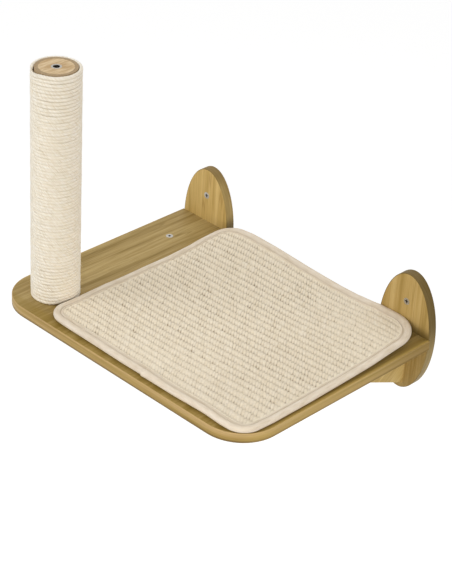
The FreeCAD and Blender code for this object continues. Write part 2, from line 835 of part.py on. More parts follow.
def patches(name, thickness, z):
    """Four patches with round corners, in two rows under the mat's flat part."""
    made = []
    left = f"{MAT_LEFT} + patch_side_inset"
    right = f"{MAT_LEFT} + {MAT_WIDTH} - patch_side_inset - patch_length"
    front = f"{BOARD_FRONT} + mat_front_inset + patch_front_inset"
    for row, y in (("front", front), ("rear", f"{front} + patch_row_gap")):
        for side, x in (("left", left), ("right", right)):
            patch = new_body(f"{row}_{side}_{name}")
            feature(patch, "AdditiveBox", Length="patch_length", Width="patch_width", Height=thickness)
            round_edges(patch, "patch_corner_radius", is_upright)
            place(patch, x, y, z)
            made.append(patch)
    return group(name, made)


# Document

parts = [shelf_board(), shelf_edge_band()]
for plate_side, plate_sign in SIDES.items():
    parts.append(wall_plate(plate_side, plate_sign))
    parts.append(plate_edge_band(plate_side, plate_sign))
    parts.append(gusset(plate_side, plate_sign))
parts += [wall_screws(), board_bolts(), barrel_nuts(), plate_screws(), board_dowels()]
parts.append(post_core_tube())
parts.append(post_plug("post_bottom_plug", BOARD_TOP, UPRIGHT))
parts.append(post_plug("post_top_plug", f"{BOARD_TOP} + post_height", UPSIDE_DOWN))
parts += [post_inserts(), post_bolt(), post_bolt_washer()]
parts += ropes()
parts.append(rope_staples())
parts += mat_pieces()
parts.append(patches("hook_patches", "hook_thickness", BOARD_TOP))
parts.append(patches("loop_patches", "loop_thickness", f"{BOARD_TOP} + hook_thickness"))
doc.recompute()

for item in doc.Objects:
    if "Invalid" in item.State or "Error" in item.State:
        raise RuntimeError(f"{item.Label} failed: {item.State}")
for part in parts:
    if part.Shape.isNull() or not part.Shape.isValid():
        raise RuntimeError(f"{part.Label} has no valid shape")

os.makedirs("parts", exist_ok=True)
for part in parts:
    part.Shape.exportStep(f"parts/{part.Label}.step")
    print(f"{part.Label}: {len(part.Shape.Solids)} solids, {part.Shape.Volume:.0f} mm3")
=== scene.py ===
import math
import bpy
import numpy as np
from mathutils import Matrix, Vector


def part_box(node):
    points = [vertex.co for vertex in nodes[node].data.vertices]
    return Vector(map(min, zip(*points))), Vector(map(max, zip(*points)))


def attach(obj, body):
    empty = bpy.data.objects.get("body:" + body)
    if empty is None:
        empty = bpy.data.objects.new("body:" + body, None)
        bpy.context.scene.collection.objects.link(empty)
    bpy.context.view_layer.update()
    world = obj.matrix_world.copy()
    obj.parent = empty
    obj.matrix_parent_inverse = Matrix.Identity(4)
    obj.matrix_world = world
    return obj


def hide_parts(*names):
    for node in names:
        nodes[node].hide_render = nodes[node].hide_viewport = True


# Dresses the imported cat-wall shelf: wood-grain laminate, a wound three-strand rope, and a woven mat with
# a sewn tape edge. Shapes are worked out in millimetres in the model's frame and scaled when a mesh is made.

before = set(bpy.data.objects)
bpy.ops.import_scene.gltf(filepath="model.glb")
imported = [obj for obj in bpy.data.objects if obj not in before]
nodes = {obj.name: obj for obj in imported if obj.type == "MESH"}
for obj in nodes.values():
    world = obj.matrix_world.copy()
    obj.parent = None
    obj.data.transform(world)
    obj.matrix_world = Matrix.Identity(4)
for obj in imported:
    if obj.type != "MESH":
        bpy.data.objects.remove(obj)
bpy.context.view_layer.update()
MM = 0.001
TURN = 2 * math.pi


def corners(node):
    """Lowest and highest corner of a CAD node in millimetres."""
    low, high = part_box(node)
    return np.array(low) / MM, np.array(high) / MM


def linear(red, green, blue):
    """The linear colour that shaders take, from display bytes."""
    values = [v / 255 for v in (red, green, blue)]
    return tuple(v / 12.92 if v <= 0.04045 else ((v + 0.055) / 1.055) ** 2.4 for v in values) + (1.0,)


def ease(t):
    """0 to 1 with level ends."""
    t = np.clip(t, 0, 1)
    return t * t * (3 - 2 * t)


def unit(vectors):
    """Vectors scaled to length 1."""
    return vectors / np.linalg.norm(vectors, axis=-1, keepdims=True)


def lengths_along(points):
    """Distance travelled along a line of points, at each of them."""
    return np.cumsum(np.linalg.norm(np.diff(points, axis=0, prepend=points[:1]), axis=1))


def add_object(name, data):
    """An object in the scene that shows a mesh, a lamp or a camera."""
    made = bpy.data.objects.new(name, data)
    bpy.context.scene.collection.objects.link(made)
    return made


# Camera, solved from the photograph's outlines: place in metres, angles in degrees, lens in millimetres

CAMERA_PLACE = (1.277648, -1.491872, 1.125155)
CAMERA_AZIMUTH = 43.342
CAMERA_ELEVATION = 31.446
CAMERA_ROLL = 3.347
CAMERA_LENS = 118.148
SENSOR = 36.0


def add_camera():
    data = bpy.data.cameras.new("camera")
    data.sensor_width = SENSOR
    data.lens = CAMERA_LENS
    camera = add_object("camera", data)
    turn = (
        Matrix.Rotation(math.radians(CAMERA_AZIMUTH), 4, "Z")
        @ Matrix.Rotation(math.radians(90 - CAMERA_ELEVATION), 4, "X")
        @ Matrix.Rotation(math.radians(CAMERA_ROLL), 4, "Z")
    )
    camera.matrix_world = Matrix.Translation(CAMERA_PLACE) @ turn
    bpy.context.scene.camera = camera


class Graph:
    """The shader nodes of one material or world."""

    def __init__(self, name, kind="materials"):
        self.owner = getattr(bpy.data, kind).new(name)
        self.owner.use_nodes = True
        self.tree = self.owner.node_tree

    def set(self, socket, value):
        if isinstance(value, bpy.types.NodeSocket):
            self.tree.links.new(value, socket)
        else:
            socket.default_value = value

    def node(self, kind, sockets, **settings):
        node = self.tree.nodes.new("ShaderNode" + kind)
        for key, value in settings.items():
            setattr(node, key, value)
        for key, value in sockets.items():
            self.set(node.inputs[key], value)
        return node

    def surface(self, **sockets):
        """Sets the main shader's sockets; an underscore in a name stands for a space."""
        shader = self.tree.nodes["Principled BSDF"]
        for key, value in sockets.items():
            self.set(shader.inputs[key.replace("_", " ")], value)
        return self.owner

    def place(self, scale=(1, 1, 1), rotation=(0, 0, 0)):
        """Object coordinates, turned and then scaled."""
        coordinates = self.node("TexCoord", {}).outputs["Object"]
        turned = self.node("Mapping", {"Vector": coordinates, "Rotation": rotation}).outputs[0]
        return self.stretch(turned, scale)

    def attribute(self, name, output="Fac"):
        return self.node("Attribute", {}, attribute_name=name).outputs[output]

    def stretch(self, vector, scale):
        return self.node("Mapping", {"Vector": vector, "Scale": scale}).outputs[0]

    def noise(self, vector, scale, detail=2.0, rough=0.5, distortion=0.0):
        sockets = {
            "Vector": vector, "Scale": scale, "Detail": detail, "Roughness": rough, "Distortion": distortion,
        }
        return self.node("TexNoise", sockets).outputs[0]

    def math(self, operation, a, b=0.0):
        return self.node("Math", {0: a, 1: b}, operation=operation).outputs[0]

    def fit(self, value, low, high, to_low=0.0, to_high=1.0):
        sockets = {"Value": value, "From Min": low, "From Max": high, "To Min": to_low, "To Max": to_high}
        return self.node("MapRange", sockets, interpolation_type="SMOOTHSTEP").outputs[0]

    def mix(self, share, colour, other):
        """A colour with a share of another one, which is a socket or display bytes."""
        if not isinstance(other, bpy.types.NodeSocket):
            other = linear(*other)
        return self.node("Mix", {0: share, 6: colour, 7: other}, data_type="RGBA").outputs[2]

    def blend(self, a, b, share):
        """A share of one value and the rest of another."""
        return self.math("ADD", self.math("MULTIPLY", a, share), self.math("MULTIPLY", b, 1 - share))

    def ramp(self, value, *stops):
        """Colours in display bytes at positions from 0 to 1."""
        node = self.node("ValToRGB", {0: value})
        elements = node.color_ramp.elements
        while len(elements) < len(stops):
            elements.new(0.5)
        for element, (position, colour) in zip(elements, stops):
            element.position = position
            element.color = linear(*colour)
        return node.outputs[0]

    def wave(self, vector, scale, distortion, direction):
        sockets = {"Vector": vector, "Scale": scale, "Distortion": distortion}
        return self.node("TexWave", sockets, bands_direction=direction).outputs["Fac"]

    def axis(self, vector, name):
        return self.node("SeparateXYZ", {0: vector}).outputs[name]

    def facing(self, name):
        """One axis of the surface's outward direction."""
        return self.axis(self.node("NewGeometry", {}).outputs["Normal"], name)

    def background_share(self):
        """1 for rays from the camera, off gloss or through glass, and 0 for light."""
        path = self.node("LightPath", {}).outputs
        mirrored = self.math("MAXIMUM", path["Is Camera Ray"], path["Is Glossy Ray"])
        return self.math("MAXIMUM", mirrored, path["Is Transmission Ray"])

    def bump(self, height, distance, strength=1.0):
        sockets = {"Height": height, "Distance": distance, "Strength": strength}
        return self.node("Bump", sockets).outputs[0]


# Light, floor and background: places and sides in metres, powers in watts

FLOOR_LEVEL = -1.6
FLOOR_SIDE = 24.0
FLOOR_ALBEDO = 0.80
FLOOR_ROUGHNESS = 0.9
FLOOR_GLOW = 0.46
AMBIENT_LEFT = 0.72
AMBIENT_RIGHT = 0.54
LAMP_AIM = (0, -0.15, 0)
LAMPS = {
    "key": {"place": (-1.5, -2.3, 1.6), "side": 1.7, "power": 21.5, "colour": (0.98, 0.99, 1.0)},
    "fill": {"place": (0.9, -1.0, 0.2), "side": 0.7, "power": 5.6, "colour": (1.0, 0.93, 0.83)},
    "back": {"place": (-0.1, 1.3, 2.3), "side": 2.4, "power": 17.0, "colour": (1.0, 0.95, 0.89)},
}


def add_world():
    graph = Graph("white", "worlds")
    heading = graph.axis(graph.node("TexCoord", {}).outputs["Generated"], "X")
    sides = {"Value": heading, "From Min": -1, "To Min": AMBIENT_LEFT, "To Max": AMBIENT_RIGHT}
    ambient = graph.node("MapRange", sides).outputs[0]
    strength = graph.node("MapRange", {"Value": graph.background_share(), "To Min": ambient}).outputs[0]
    background = graph.tree.nodes["Background"]
    graph.set(background.inputs["Color"], (1, 1, 1, 1))
    graph.set(background.inputs["Strength"], strength)
    bpy.context.scene.world = graph.owner


def add_floor():
    half = FLOOR_SIDE / 2
    points = [(x * half, y * half, FLOOR_LEVEL) for x, y in ((-1, -1), (1, -1), (1, 1), (-1, 1))]
    mesh = bpy.data.meshes.new("floor")
    mesh.from_pydata(points, [], [(0, 1, 2, 3)])
    graph = Graph("pale_floor")
    glow = graph.node("MapRange", {"Value": graph.background_share(), "To Max": FLOOR_GLOW}).outputs[0]
    shade = (FLOOR_ALBEDO, FLOOR_ALBEDO, FLOOR_ALBEDO, 1)
    material = graph.surface(
        Base_Color=shade, Roughness=FLOOR_ROUGHNESS, Specular_IOR_Level=0.0,
        Emission_Color=(1, 1, 1, 1), Emission_Strength=glow,
    )
    mesh.materials.append(material)
    add_object("floor", mesh)


def add_lamp(name, lamp):
    data = bpy.data.lights.new(name, "AREA")
    data.energy = lamp["power"]
    data.size = lamp["side"]
    data.color = lamp["colour"]
    light = add_object(name, data)
    light.visible_camera = False
    aim = Vector(LAMP_AIM) - Vector(lamp["place"])
    light.matrix_world = Matrix.Translation(lamp["place"]) @ aim.to_track_quat("-Z", "Y").to_matrix().to_4x4()


# Materials of the carried-over CAD nodes: noise in cells per metre, relief in metres, colours in bytes

GRAIN = 0.035
BAND_CELLS = 75.0
BAND_SHARE = 0.55
STREAK_CELLS = 300.0
LINE_CELLS = 127.5
LINE_HALF = 0.035
LINE_SHARE = 0.5
PORE_CELLS = 1500.0
PORE_SHARE = 0.35
CHIP_CELLS = 420.0
WOOD_RELIEF = 0.00006
TINT_STOP = 0.5


def wood(name, stretch, tones, turn=(0, 0, 0), raw_back=False, painted_light=(), painted_front_shade=()):
    """Wood-grain laminate; stretch is small along the grain, and tones are dark, middle, light and line.

    Tints are painted shade and painted highlights; each is (axis, start, end, share, colour). A front tint is
    painted shade on faces toward the front alone: (stop, start, end, share, colour) along Z, ending at stop.
    Places are in millimetres.
    """
    graph = Graph(name)
    dark, middle, light, line = tones
    place = graph.place(scale=stretch, rotation=turn)
    bands = graph.noise(place, BAND_CELLS, detail=1.0, distortion=0.3)
    streaks = graph.noise(place, STREAK_CELLS, detail=3.0, rough=0.6)
    pores = graph.noise(place, PORE_CELLS, detail=1.0)
    colour = graph.ramp(graph.blend(bands, streaks, BAND_SHARE), (0.36, dark), (0.5, middle), (0.64, light))
    ring = graph.noise(place, LINE_CELLS, detail=0.0, distortion=0.6)
    off_line = graph.math("ABSOLUTE", graph.math("SUBTRACT", ring, 0.5))
    colour = graph.mix(graph.fit(off_line, 0.0, LINE_HALF, LINE_SHARE, 0.0), colour, line)
    colour = graph.mix(graph.fit(pores, 0.30, 0.45, PORE_SHARE, 0.0), colour, dark)
    if raw_back:
        chips = graph.noise(graph.place(), CHIP_CELLS, detail=3.0, rough=0.7)
        board = graph.ramp(chips, (0.35, (120, 95, 62)), (0.5, (168, 140, 98)), (0.65, (196, 171, 130)))
        colour = graph.mix(graph.fit(graph.facing("Y"), 0.85, 0.95), colour, board)
    # Painted shade and painted highlights, each fading in along one axis
    for axis, begin, end, most, tint in painted_light:
        share = graph.fit(graph.axis(graph.place(), axis), begin * MM, end * MM, 0.0, most)
        colour = graph.mix(share, colour, tint)
    # Painted shade on front faces only, cut off below stop
    for stop, begin, end, most, tint in painted_front_shade:
        upward = graph.axis(graph.place(), "Z")
        over_stop = graph.fit(upward, (stop - TINT_STOP) * MM, stop * MM)
        inside = graph.math("MULTIPLY", graph.fit(graph.facing("Y"), -0.5, -0.9), over_stop)
        share = graph.math("MULTIPLY", graph.fit(upward, begin * MM, end * MM, 0.0, most), inside)
        colour = graph.mix(share, colour, tint)
    relief = graph.bump(graph.math("ADD", pores, streaks), WOOD_RELIEF)
    rough = graph.fit(pores, 0.3, 0.6, 0.62, 0.5)
    return graph.surface(Base_Color=colour, Roughness=rough, Normal=relief, Specular_IOR_Level=0.2)


RECESS_START = 0.05
RECESS_DARK = 0.3
RECESS_END = 2.4
WEAR_CELLS = 900.0
BRUSH_CELLS = 2600.0
BRUSH_RELIEF = 0.00002


def nickel(name, recess=None):
    """Satin nickel. recess is (axis, sign, face): the drive recess under a head's face gets painted shade,
    near black.
    """
    graph = Graph(name)
    place = graph.place()
    wear = graph.noise(place, WEAR_CELLS, detail=3.0)
    colour = graph.ramp(wear, (0.3, (172, 168, 160)), (0.7, (202, 198, 190)))
    if recess:
        axis, sign, face = recess
        depth = graph.math("MULTIPLY", graph.math("SUBTRACT", graph.axis(place, axis), face * MM), sign)
        inside = graph.fit(depth, RECESS_START * MM, RECESS_DARK * MM)
        past = graph.fit(depth, RECESS_END * MM, (RECESS_END + RECESS_START) * MM)
        # Painted shade inside the drive recess
        colour = graph.mix(graph.math("SUBTRACT", inside, past), colour, (16, 14, 12))
    rough = graph.fit(wear, 0.3, 0.7, 0.24, 0.40)
    relief = graph.bump(graph.noise(place, BRUSH_CELLS, detail=1.0), BRUSH_RELIEF)
    return graph.surface(Base_Color=colour, Metallic=1.0, Roughness=rough, Normal=relief)


PLUG_GRAIN = 0.14
RING_CELLS = 260.0
FIBRE_CELLS = 1400.0
SPECK_CELLS = 700.0
BLOTCH_CELLS = 40.0
FIBRE_RELIEF = 0.0001


def bare_wood(name, stretch):
    """Pale softwood with growth lines."""
    graph = Graph(name)
    place = graph.place(scale=stretch)
    rings = graph.noise(place, RING_CELLS, detail=2.0, distortion=0.4)
    fibres = graph.noise(place, FIBRE_CELLS, detail=2.0)
    colour = graph.ramp(rings, (0.35, (190, 158, 112)), (0.55, (218, 192, 150)), (0.7, (228, 206, 168)))
    colour = graph.mix(graph.fit(fibres, 0.35, 0.5, 0.25, 0.0), colour, (170, 136, 92))
    return graph.surface(Base_Color=colour, Roughness=0.7, Normal=graph.bump(fibres, FIBRE_RELIEF))


def paper(name):
    """Spiral-wound paper tube."""
    graph = Graph(name)
    place = graph.place()
    specks = graph.noise(place, SPECK_CELLS, detail=4.0, rough=0.7)
    blotch = graph.noise(place, BLOTCH_CELLS, detail=1.0)
    colour = graph.ramp(specks, (0.3, (150, 126, 94)), (0.7, (190, 166, 130)))
    colour = graph.mix(graph.fit(blotch, 0.3, 0.7, 0.0, 0.3), colour, (164, 138, 102))
    return graph.surface(Base_Color=colour, Roughness=0.85, Normal=graph.bump(specks, FIBRE_RELIEF))


# Laminates of the board, the plates and the gussets, with painted shade and highlights along their edges,
# and lighter and darker painted copies for the left plate and the right rim

board_low, board_high = corners("shelf_edge_band")
plate_low, plate_high = corners("right_wall_plate")
BOARD_RIGHT = board_high[0]
BOARD_FRONT = board_low[1]
BOARD_BACK = board_high[1]
BOARD_FOOT = board_low[2]
BOARD_FACE = board_high[2]
PLATE_FRONT = plate_low[1]
PLATE_FOOT = plate_low[2]
PLATE_MIDDLE = (plate_low[2] + plate_high[2]) / 2
EDGE_STRETCH = 2.2
GUSSET_SLOPE = -35


def board_laminate():
    tones = ((136, 112, 56), (168, 143, 88), (186, 162, 107), (132, 108, 54))
    return wood("board_laminate", (1, GRAIN, 1), tones, raw_back=True, painted_light=(
        # Painted shadow of the mat's right edge on the board's right strip
        ("X", BOARD_RIGHT - 18, BOARD_RIGHT - 8, 0.55, (136, 108, 36)),
        # Painted highlight along the right arris
        ("X", BOARD_RIGHT - 6, BOARD_RIGHT - 1, 0.55, (206, 176, 100)),
        # Painted shade of the mat's front edge on the front strip
        ("Y", BOARD_FRONT + 18, BOARD_FRONT + 10, 0.4, (150, 122, 40)),
    ))


def board_edge_laminate():
    tones = ((150, 123, 63), (178, 150, 89), (194, 165, 112), (174, 138, 98))
    return wood("board_edge", (GRAIN, GRAIN, EDGE_STRETCH), tones, painted_light=(
        # Painted shade on the lower arris
        ("Z", BOARD_FOOT + 4.0, BOARD_FOOT + 0.8, 0.75, (100, 80, 46)),
        # Painted highlight along the top arris
        ("Z", BOARD_FACE - 2.2, BOARD_FACE - 0.6, 0.45, (206, 176, 126)),
        # Painted light on the band's right side
        ("X", BOARD_RIGHT - 20, BOARD_RIGHT - 1, 0.22, (216, 188, 112)),
        # Painted shade toward the back, near the wall plate
        ("Y", BOARD_BACK - 128, BOARD_BACK - 8, 0.62, (130, 100, 34)),
    ))


def left_plate_lit_laminate():
    # A lighter copy of the plate laminate: painted light for the bounce light the left plate gets
    tones = ((178, 148, 82), (202, 172, 106), (216, 188, 124), (164, 129, 72))
    return wood("left_plate_lit_laminate", (1, 1, GRAIN), tones)


def right_plate_laminate():
    tones = ((160, 132, 71), (181, 152, 92), (194, 167, 109), (150, 121, 62))
    return wood("right_plate_laminate", (1, 1, GRAIN), tones, painted_front_shade=(
        # Painted shadow of the mat's corner on the plate's foot, above the board
        (BOARD_FACE, BOARD_FACE + 15, BOARD_FACE, 0.75, (76, 60, 18)),
        # Painted shade on the plate below the board
        (PLATE_FOOT, BOARD_FOOT, BOARD_FOOT - 6, 0.3, (122, 100, 46)),
    ))


def left_rim_laminate():
    tones = ((144, 120, 70), (172, 148, 92), (190, 166, 112), (140, 114, 64))
    return wood("left_plate_edge", (GRAIN, 1, GRAIN), tones, painted_light=(
        # Painted shade, darker toward the rim's top
        ("Z", PLATE_MIDDLE + 58, PLATE_MIDDLE + 72, 0.7, (120, 96, 50)),
        # Painted shadow of the mat's corner at the rim's foot
        ("Z", BOARD_FACE + 22, BOARD_FACE + 4, 0.6, (70, 56, 26)),
    ))


def right_rim_shaded_laminate():
    # A darker copy of the rim laminate: painted shade, as the right rim gets less light
    tones = ((132, 110, 62), (160, 138, 88), (178, 156, 106), (124, 100, 56))
    return wood("right_plate_edge", (GRAIN, 1, GRAIN), tones, painted_light=(
        # Painted shade, darker toward the rim's top, which gets light only from below
        ("Z", PLATE_MIDDLE - 20, PLATE_MIDDLE + 25, 0.75, (86, 66, 12)),
    ))


def gusset_laminate():
    tones = ((196, 165, 98), (217, 189, 122), (231, 206, 142), (184, 150, 85))
    return wood("gusset_laminate", (1, GRAIN, 1), tones, turn=(math.radians(GUSSET_SLOPE), 0, 0))


def dress_nodes():
    """Gives each CAD node its material; nickel where none is listed."""
    metal = nickel("nickel")
    gusset = gusset_laminate()
    plug = bare_wood("plug_wood", (1, PLUG_GRAIN, 1))
    dressing = {
        "shelf_board": board_laminate(),
        "shelf_edge_band": board_edge_laminate(),
        "left_wall_plate": left_plate_lit_laminate(),
        "right_wall_plate": right_plate_laminate(),
        "left_plate_edge_band": left_rim_laminate(),
        "right_plate_edge_band": right_rim_shaded_laminate(),
        "left_gusset": gusset,
        "right_gusset": gusset,
        "wall_screws": nickel("screw_nickel", ("Y", 1.0, PLATE_FRONT)),
        "board_bolts": nickel("bolt_nickel", ("Z", -1.0, BOARD_FACE)),
        "board_dowels": bare_wood("dowel_wood", (1, GRAIN, 1)),
        "post_bottom_plug": plug,
        "post_top_plug": plug,
        "post_core_tube": paper("paper_tube"),
    }
    for name, node in nodes.items():
        material = dressing.get(name, metal)
        if not node.material_slots:
            node.data.materials.append(material)
        for holder in node.material_slots:
            holder.material = material


# Mesh helpers

def grid(rows, columns, wrap_rows=False, wrap_columns=False, start=0):
    """Quads over a grid of points that is stored row by row."""
    row = np.arange(rows if wrap_rows else rows - 1)[:, None] * columns
    column = np.arange(columns if wrap_columns else columns - 1)[None, :]
    below = (row + columns) % (rows * columns)
    beside = (column + 1) % columns
    quads = np.stack([row + column, row + beside, below + beside, below + column], axis=-1)
    return (quads.reshape(-1, 4) + start).tolist()


def piece(name, points, faces, material, body, slot, **attributes):
    """A mesh piece from points in millimetres, riding on a body."""
    mesh = bpy.data.meshes.new(name)
    mesh.from_pydata((np.asarray(points) * MM).tolist(), [], faces)
    mesh.polygons.foreach_set("use_smooth", np.full(len(mesh.polygons), True))
    for key, values in attributes.items():
        values = np.asarray(values, dtype=np.float32)
        kind = "FLOAT" if values.ndim == 1 else "FLOAT_VECTOR"
        field = "value" if values.ndim == 1 else "vector"
        mesh.attributes.new(key, kind, "POINT").data.foreach_set(field, values.ravel())
    mesh.materials.append(material)
    mesh.update()
    made = add_object(name, mesh)
    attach(made, body)
    return made


def tube_faces(steps, sides, start=0):
    """Faces of a closed tube whose rings of points follow one another."""
    first = list(range(start + sides - 1, start - 1, -1))
    last = list(range(start + (steps - 1) * sides, start + steps * sides))
    return grid(steps, sides, wrap_columns=True, start=start) + [first, last]


def tubes(paths, radii, sides):
    """Points and faces of closed round tubes. paths is (count, steps, 3); radii has one value per step."""
    count, steps, _ = paths.shape
    along = unit(np.gradient(paths, axis=1))
    helper = np.where(np.abs(along[..., 2:3]) < 0.9, [[[0.0, 0.0, 1.0]]], [[[1.0, 0.0, 0.0]]])
    across = unit(np.cross(along, helper))
    third = np.cross(along, across)
    angles = np.arange(sides) * TURN / sides
    wheel = across[:, :, None] * np.cos(angles)[:, None] + third[:, :, None] * np.sin(angles)[:, None]
    points = paths[:, :, None] + wheel * np.asarray(radii)[None, :, None, None]
    faces = []
    for index in range(count):
        faces += tube_faces(steps, sides, index * steps * sides)
    return points.reshape(-1, 3), faces


def waver(place, rates, starts):
    """An uneven wave between -1 and 1, the product of two."""
    return np.sin(place * rates[0] + starts[0]) * np.sin(place * rates[1] + starts[1])


# Rope on the post: lengths in millimetres

ROPE_RADIUS = 1.75
ROPE_PITCH = 3.973
ROPE_LOBES = 3
ROPE_SIDES = 12
ROPE_STEP = 1.45
STRAND_OFFSET = 0.62
STRAND_RADIUS = 1.54
PLUMP_RADIUS = STRAND_OFFSET + STRAND_RADIUS
WINDING_SHIFT = 0.5
STRAND_LAY = 12.0
TURN_STRETCH = 1.3
TURN_HALF = 1.97
SQUEEZE = 8
LEVEL_SHARE = 0.84
LEVEL_TURNS = 12.0
RADIUS_WAVER = 0.12
HEIGHT_WAVER = 0.20
SWELL_SHARE = 0.05
TAPER_SHARE = 0.55
TAPER_LENGTH = 2.5
HAIR_COUNT = 900
HAIR_STEPS = 5
HAIR_MARGIN = 0.02
HAIR_LENGTHS = (2.0, 7.0)
HAIR_RISE_SHARES = (0.08, 0.35)
HAIR_DRIFT_SHARE = 0.5
HAIR_ROOT_SHARE = 0.9
HAIR_BEND = 2.2
HAIR_LIFT = 0.3
HAIR_RADII = (0.07, 0.03)
HAIR_FIBRE = 3.0

tube_low, tube_high = corners("post_core_tube")
middle_low, middle_high = corners("rope_middle")
POST_AXIS = (tube_low + tube_high)[:2] / 2
ROPE_WINDING = (middle_high[0] - middle_low[0]) / 2 - ROPE_RADIUS + WINDING_SHIFT
ROPE_FOOT = corners("rope_lower")[0][2] + ROPE_RADIUS
ROPE_HEAD = corners("rope_upper")[1][2] - ROPE_RADIUS
ROPE_TURNS = (ROPE_HEAD - ROPE_FOOT) / ROPE_PITCH


def level_climb(turns):
    """Turns risen by a winding whose first turns lie level and step up where they meet their start."""
    whole = np.floor(turns)
    step = ease((turns - whole - LEVEL_SHARE) / (1 - LEVEL_SHARE))
    weight = np.clip(1 - turns / LEVEL_TURNS, 0, 1)
    return (1 - weight) * turns + weight * (whole + step)


def rope_line(turns):
    """Centre line of the rope after so many turns, level at both ends of the post."""
    low = level_climb(turns)
    high = ROPE_TURNS - level_climb(ROPE_TURNS - turns)
    climb = np.where(turns < ROPE_TURNS / 2, low, high)
    radius = ROPE_WINDING + RADIUS_WAVER * waver(turns, (9.1, 2.3), (0.0, 1.0))
    height = ROPE_FOOT + ROPE_PITCH * climb + HEIGHT_WAVER * waver(turns, (7.7, 1.9), (0.5, 0.0))
    angle = turns * TURN
    x = POST_AXIS[0] + radius * np.cos(angle)
    y = POST_AXIS[1] + radius * np.sin(angle)
    return np.stack([x, y, height], axis=-1)


def outward(turns):
    """Directions away from the post after so many turns."""
    return np.stack([np.cos(turns * TURN), np.sin(turns * TURN), np.zeros(len(turns))], axis=-1)


def rope_material():
    graph = Graph("sisal_rope")
    fibre = graph.attribute("fibre", "Vector")
    groove = graph.attribute("groove")
    threads = graph.noise(graph.stretch(fibre, (2.6, 2.6, 0.11)), 1.0, detail=2.0)
    strands = graph.noise(graph.stretch(fibre, (0.8, 0.8, 0.05)), 1.0, detail=1.0)
    tone = graph.noise(graph.stretch(fibre, (0.05, 0.05, 0.03)), 1.0, detail=2.0)
    mixed = graph.blend(threads, strands, 0.55)
    colour = graph.ramp(mixed, (0.30, (216, 202, 177)), (0.45, (243, 235, 218)), (0.62, (252, 247, 237)))
    colour = graph.mix(graph.fit(tone, 0.35, 0.65, 0.0, 0.25), colour, (240, 228, 204))
    # Painted shade in the valleys between the strands
    colour = graph.mix(graph.fit(groove, 0.6, 1.0, 0.0, 0.15), colour, (220, 203, 172))
    relief = graph.bump(mixed, 0.0004, 0.6)
    return graph.surface(Base_Color=colour, Roughness=0.82, Normal=relief, Specular_IOR_Level=0.25)


def rope_section(spin):
    """Distance from the rope's centre to its surface round three strands."""
    sector = TURN / ROPE_LOBES
    lobe = (spin + sector / 2) % sector - sector / 2
    return STRAND_OFFSET * np.cos(lobe) + np.sqrt(STRAND_RADIUS**2 - (STRAND_OFFSET * np.sin(lobe)) ** 2)


def add_rope():
    """The whole winding as one rope, each turn pressed flat against the next."""
    count = int(ROPE_TURNS * math.hypot(TURN * ROPE_WINDING, ROPE_PITCH) / ROPE_STEP)
    turns = np.linspace(0, ROPE_TURNS, count)
    line = rope_line(turns)
    travelled = lengths_along(line)
    to_end = np.minimum(travelled, travelled[-1] - travelled)
    taper = np.minimum(1, TAPER_SHARE + (1 - TAPER_SHARE) * to_end / TAPER_LENGTH)
    swell = taper * (1 + SWELL_SHARE * waver(travelled, (1 / 7.3, 1 / 31.0), (0.0, 2.0)))
    spin = np.arange(ROPE_SIDES) * TURN / ROPE_SIDES
    section = rope_section(spin)
    facing = spin[None, :] - TURN * travelled[:, None] / STRAND_LAY
    reach = section[None, :] * swell[:, None]
    raised = TURN_STRETCH * reach * np.sin(facing)
    raised = raised / (1 + np.abs(raised / TURN_HALF) ** SQUEEZE) ** (1 / SQUEEZE)
    points = line[:, None] + outward(turns)[:, None] * (reach * np.cos(facing))[..., None]
    points[..., 2] += raised
    shape = (count, ROPE_SIDES)
    # Depth between the strands, which the rope material darkens as painted shade
    depth = 1 - (section - section.min()) / (section.max() - section.min())
    around = (ROPE_RADIUS * np.cos(spin), ROPE_RADIUS * np.sin(spin), travelled[:, None])
    fibre = np.stack([np.broadcast_to(values, shape) for values in around], axis=-1)
    rope = piece(
        "wound_rope", points.reshape(-1, 3), tube_faces(*shape), rope_material(), "shelf", "sisal_rope",
        fibre=fibre.reshape(-1, 3), groove=np.broadcast_to(depth, shape).ravel(),
    )
    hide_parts("rope_lower", "rope_middle", "rope_upper")
    return rope


def add_rope_hairs(material):
    """Loose fibres that stand a little off the rope."""
    rng = np.random.default_rng(11)
    turns = rng.uniform(HAIR_MARGIN, ROPE_TURNS - HAIR_MARGIN, HAIR_COUNT)
    tilt = rng.uniform(-1.0, 1.0, HAIR_COUNT)
    way = rng.choice([-1, 1], HAIR_COUNT)
    length = rng.uniform(*HAIR_LENGTHS, HAIR_COUNT)
    rise = rng.uniform(*HAIR_RISE_SHARES, HAIR_COUNT) * length
    drift = rng.uniform(-HAIR_DRIFT_SHARE, HAIR_DRIFT_SHARE, HAIR_COUNT) * length
    out = outward(turns)
    ahead = np.stack([-out[:, 1], out[:, 0], np.zeros(HAIR_COUNT)], axis=-1) * way[:, None]
    root = rope_line(turns) + out * (np.cos(tilt) * PLUMP_RADIUS * HAIR_ROOT_SHARE)[:, None]
    root[:, 2] += np.sin(tilt) * ROPE_RADIUS
    t = np.linspace(0, 1, HAIR_STEPS)
    paths = root[:, None] + ahead[:, None] * (length[:, None] * t)[..., None]
    paths += out[:, None] * (rise[:, None] * np.sin(t * HAIR_BEND) + HAIR_LIFT * t)[..., None]
    paths[..., 2] += drift[:, None] * t**1.5
    points, faces = tubes(paths, np.linspace(*HAIR_RADII, HAIR_STEPS), sides=3)
    flat = np.zeros(len(points))
    fibre = np.stack([flat, flat, points[:, 2] * HAIR_FIBRE], axis=-1)
    piece("rope_hairs", points, faces, material, "shelf", "sisal_rope", fibre=fibre, groove=flat)


STAPLE_WIRE = 0.5
STAPLE_HALF_WIDTH = 4.0
STAPLE_LEG = 6.0
STAPLE_BEND = 1.0
STAPLE_STAND = 0.3
BEND_STEPS = 6


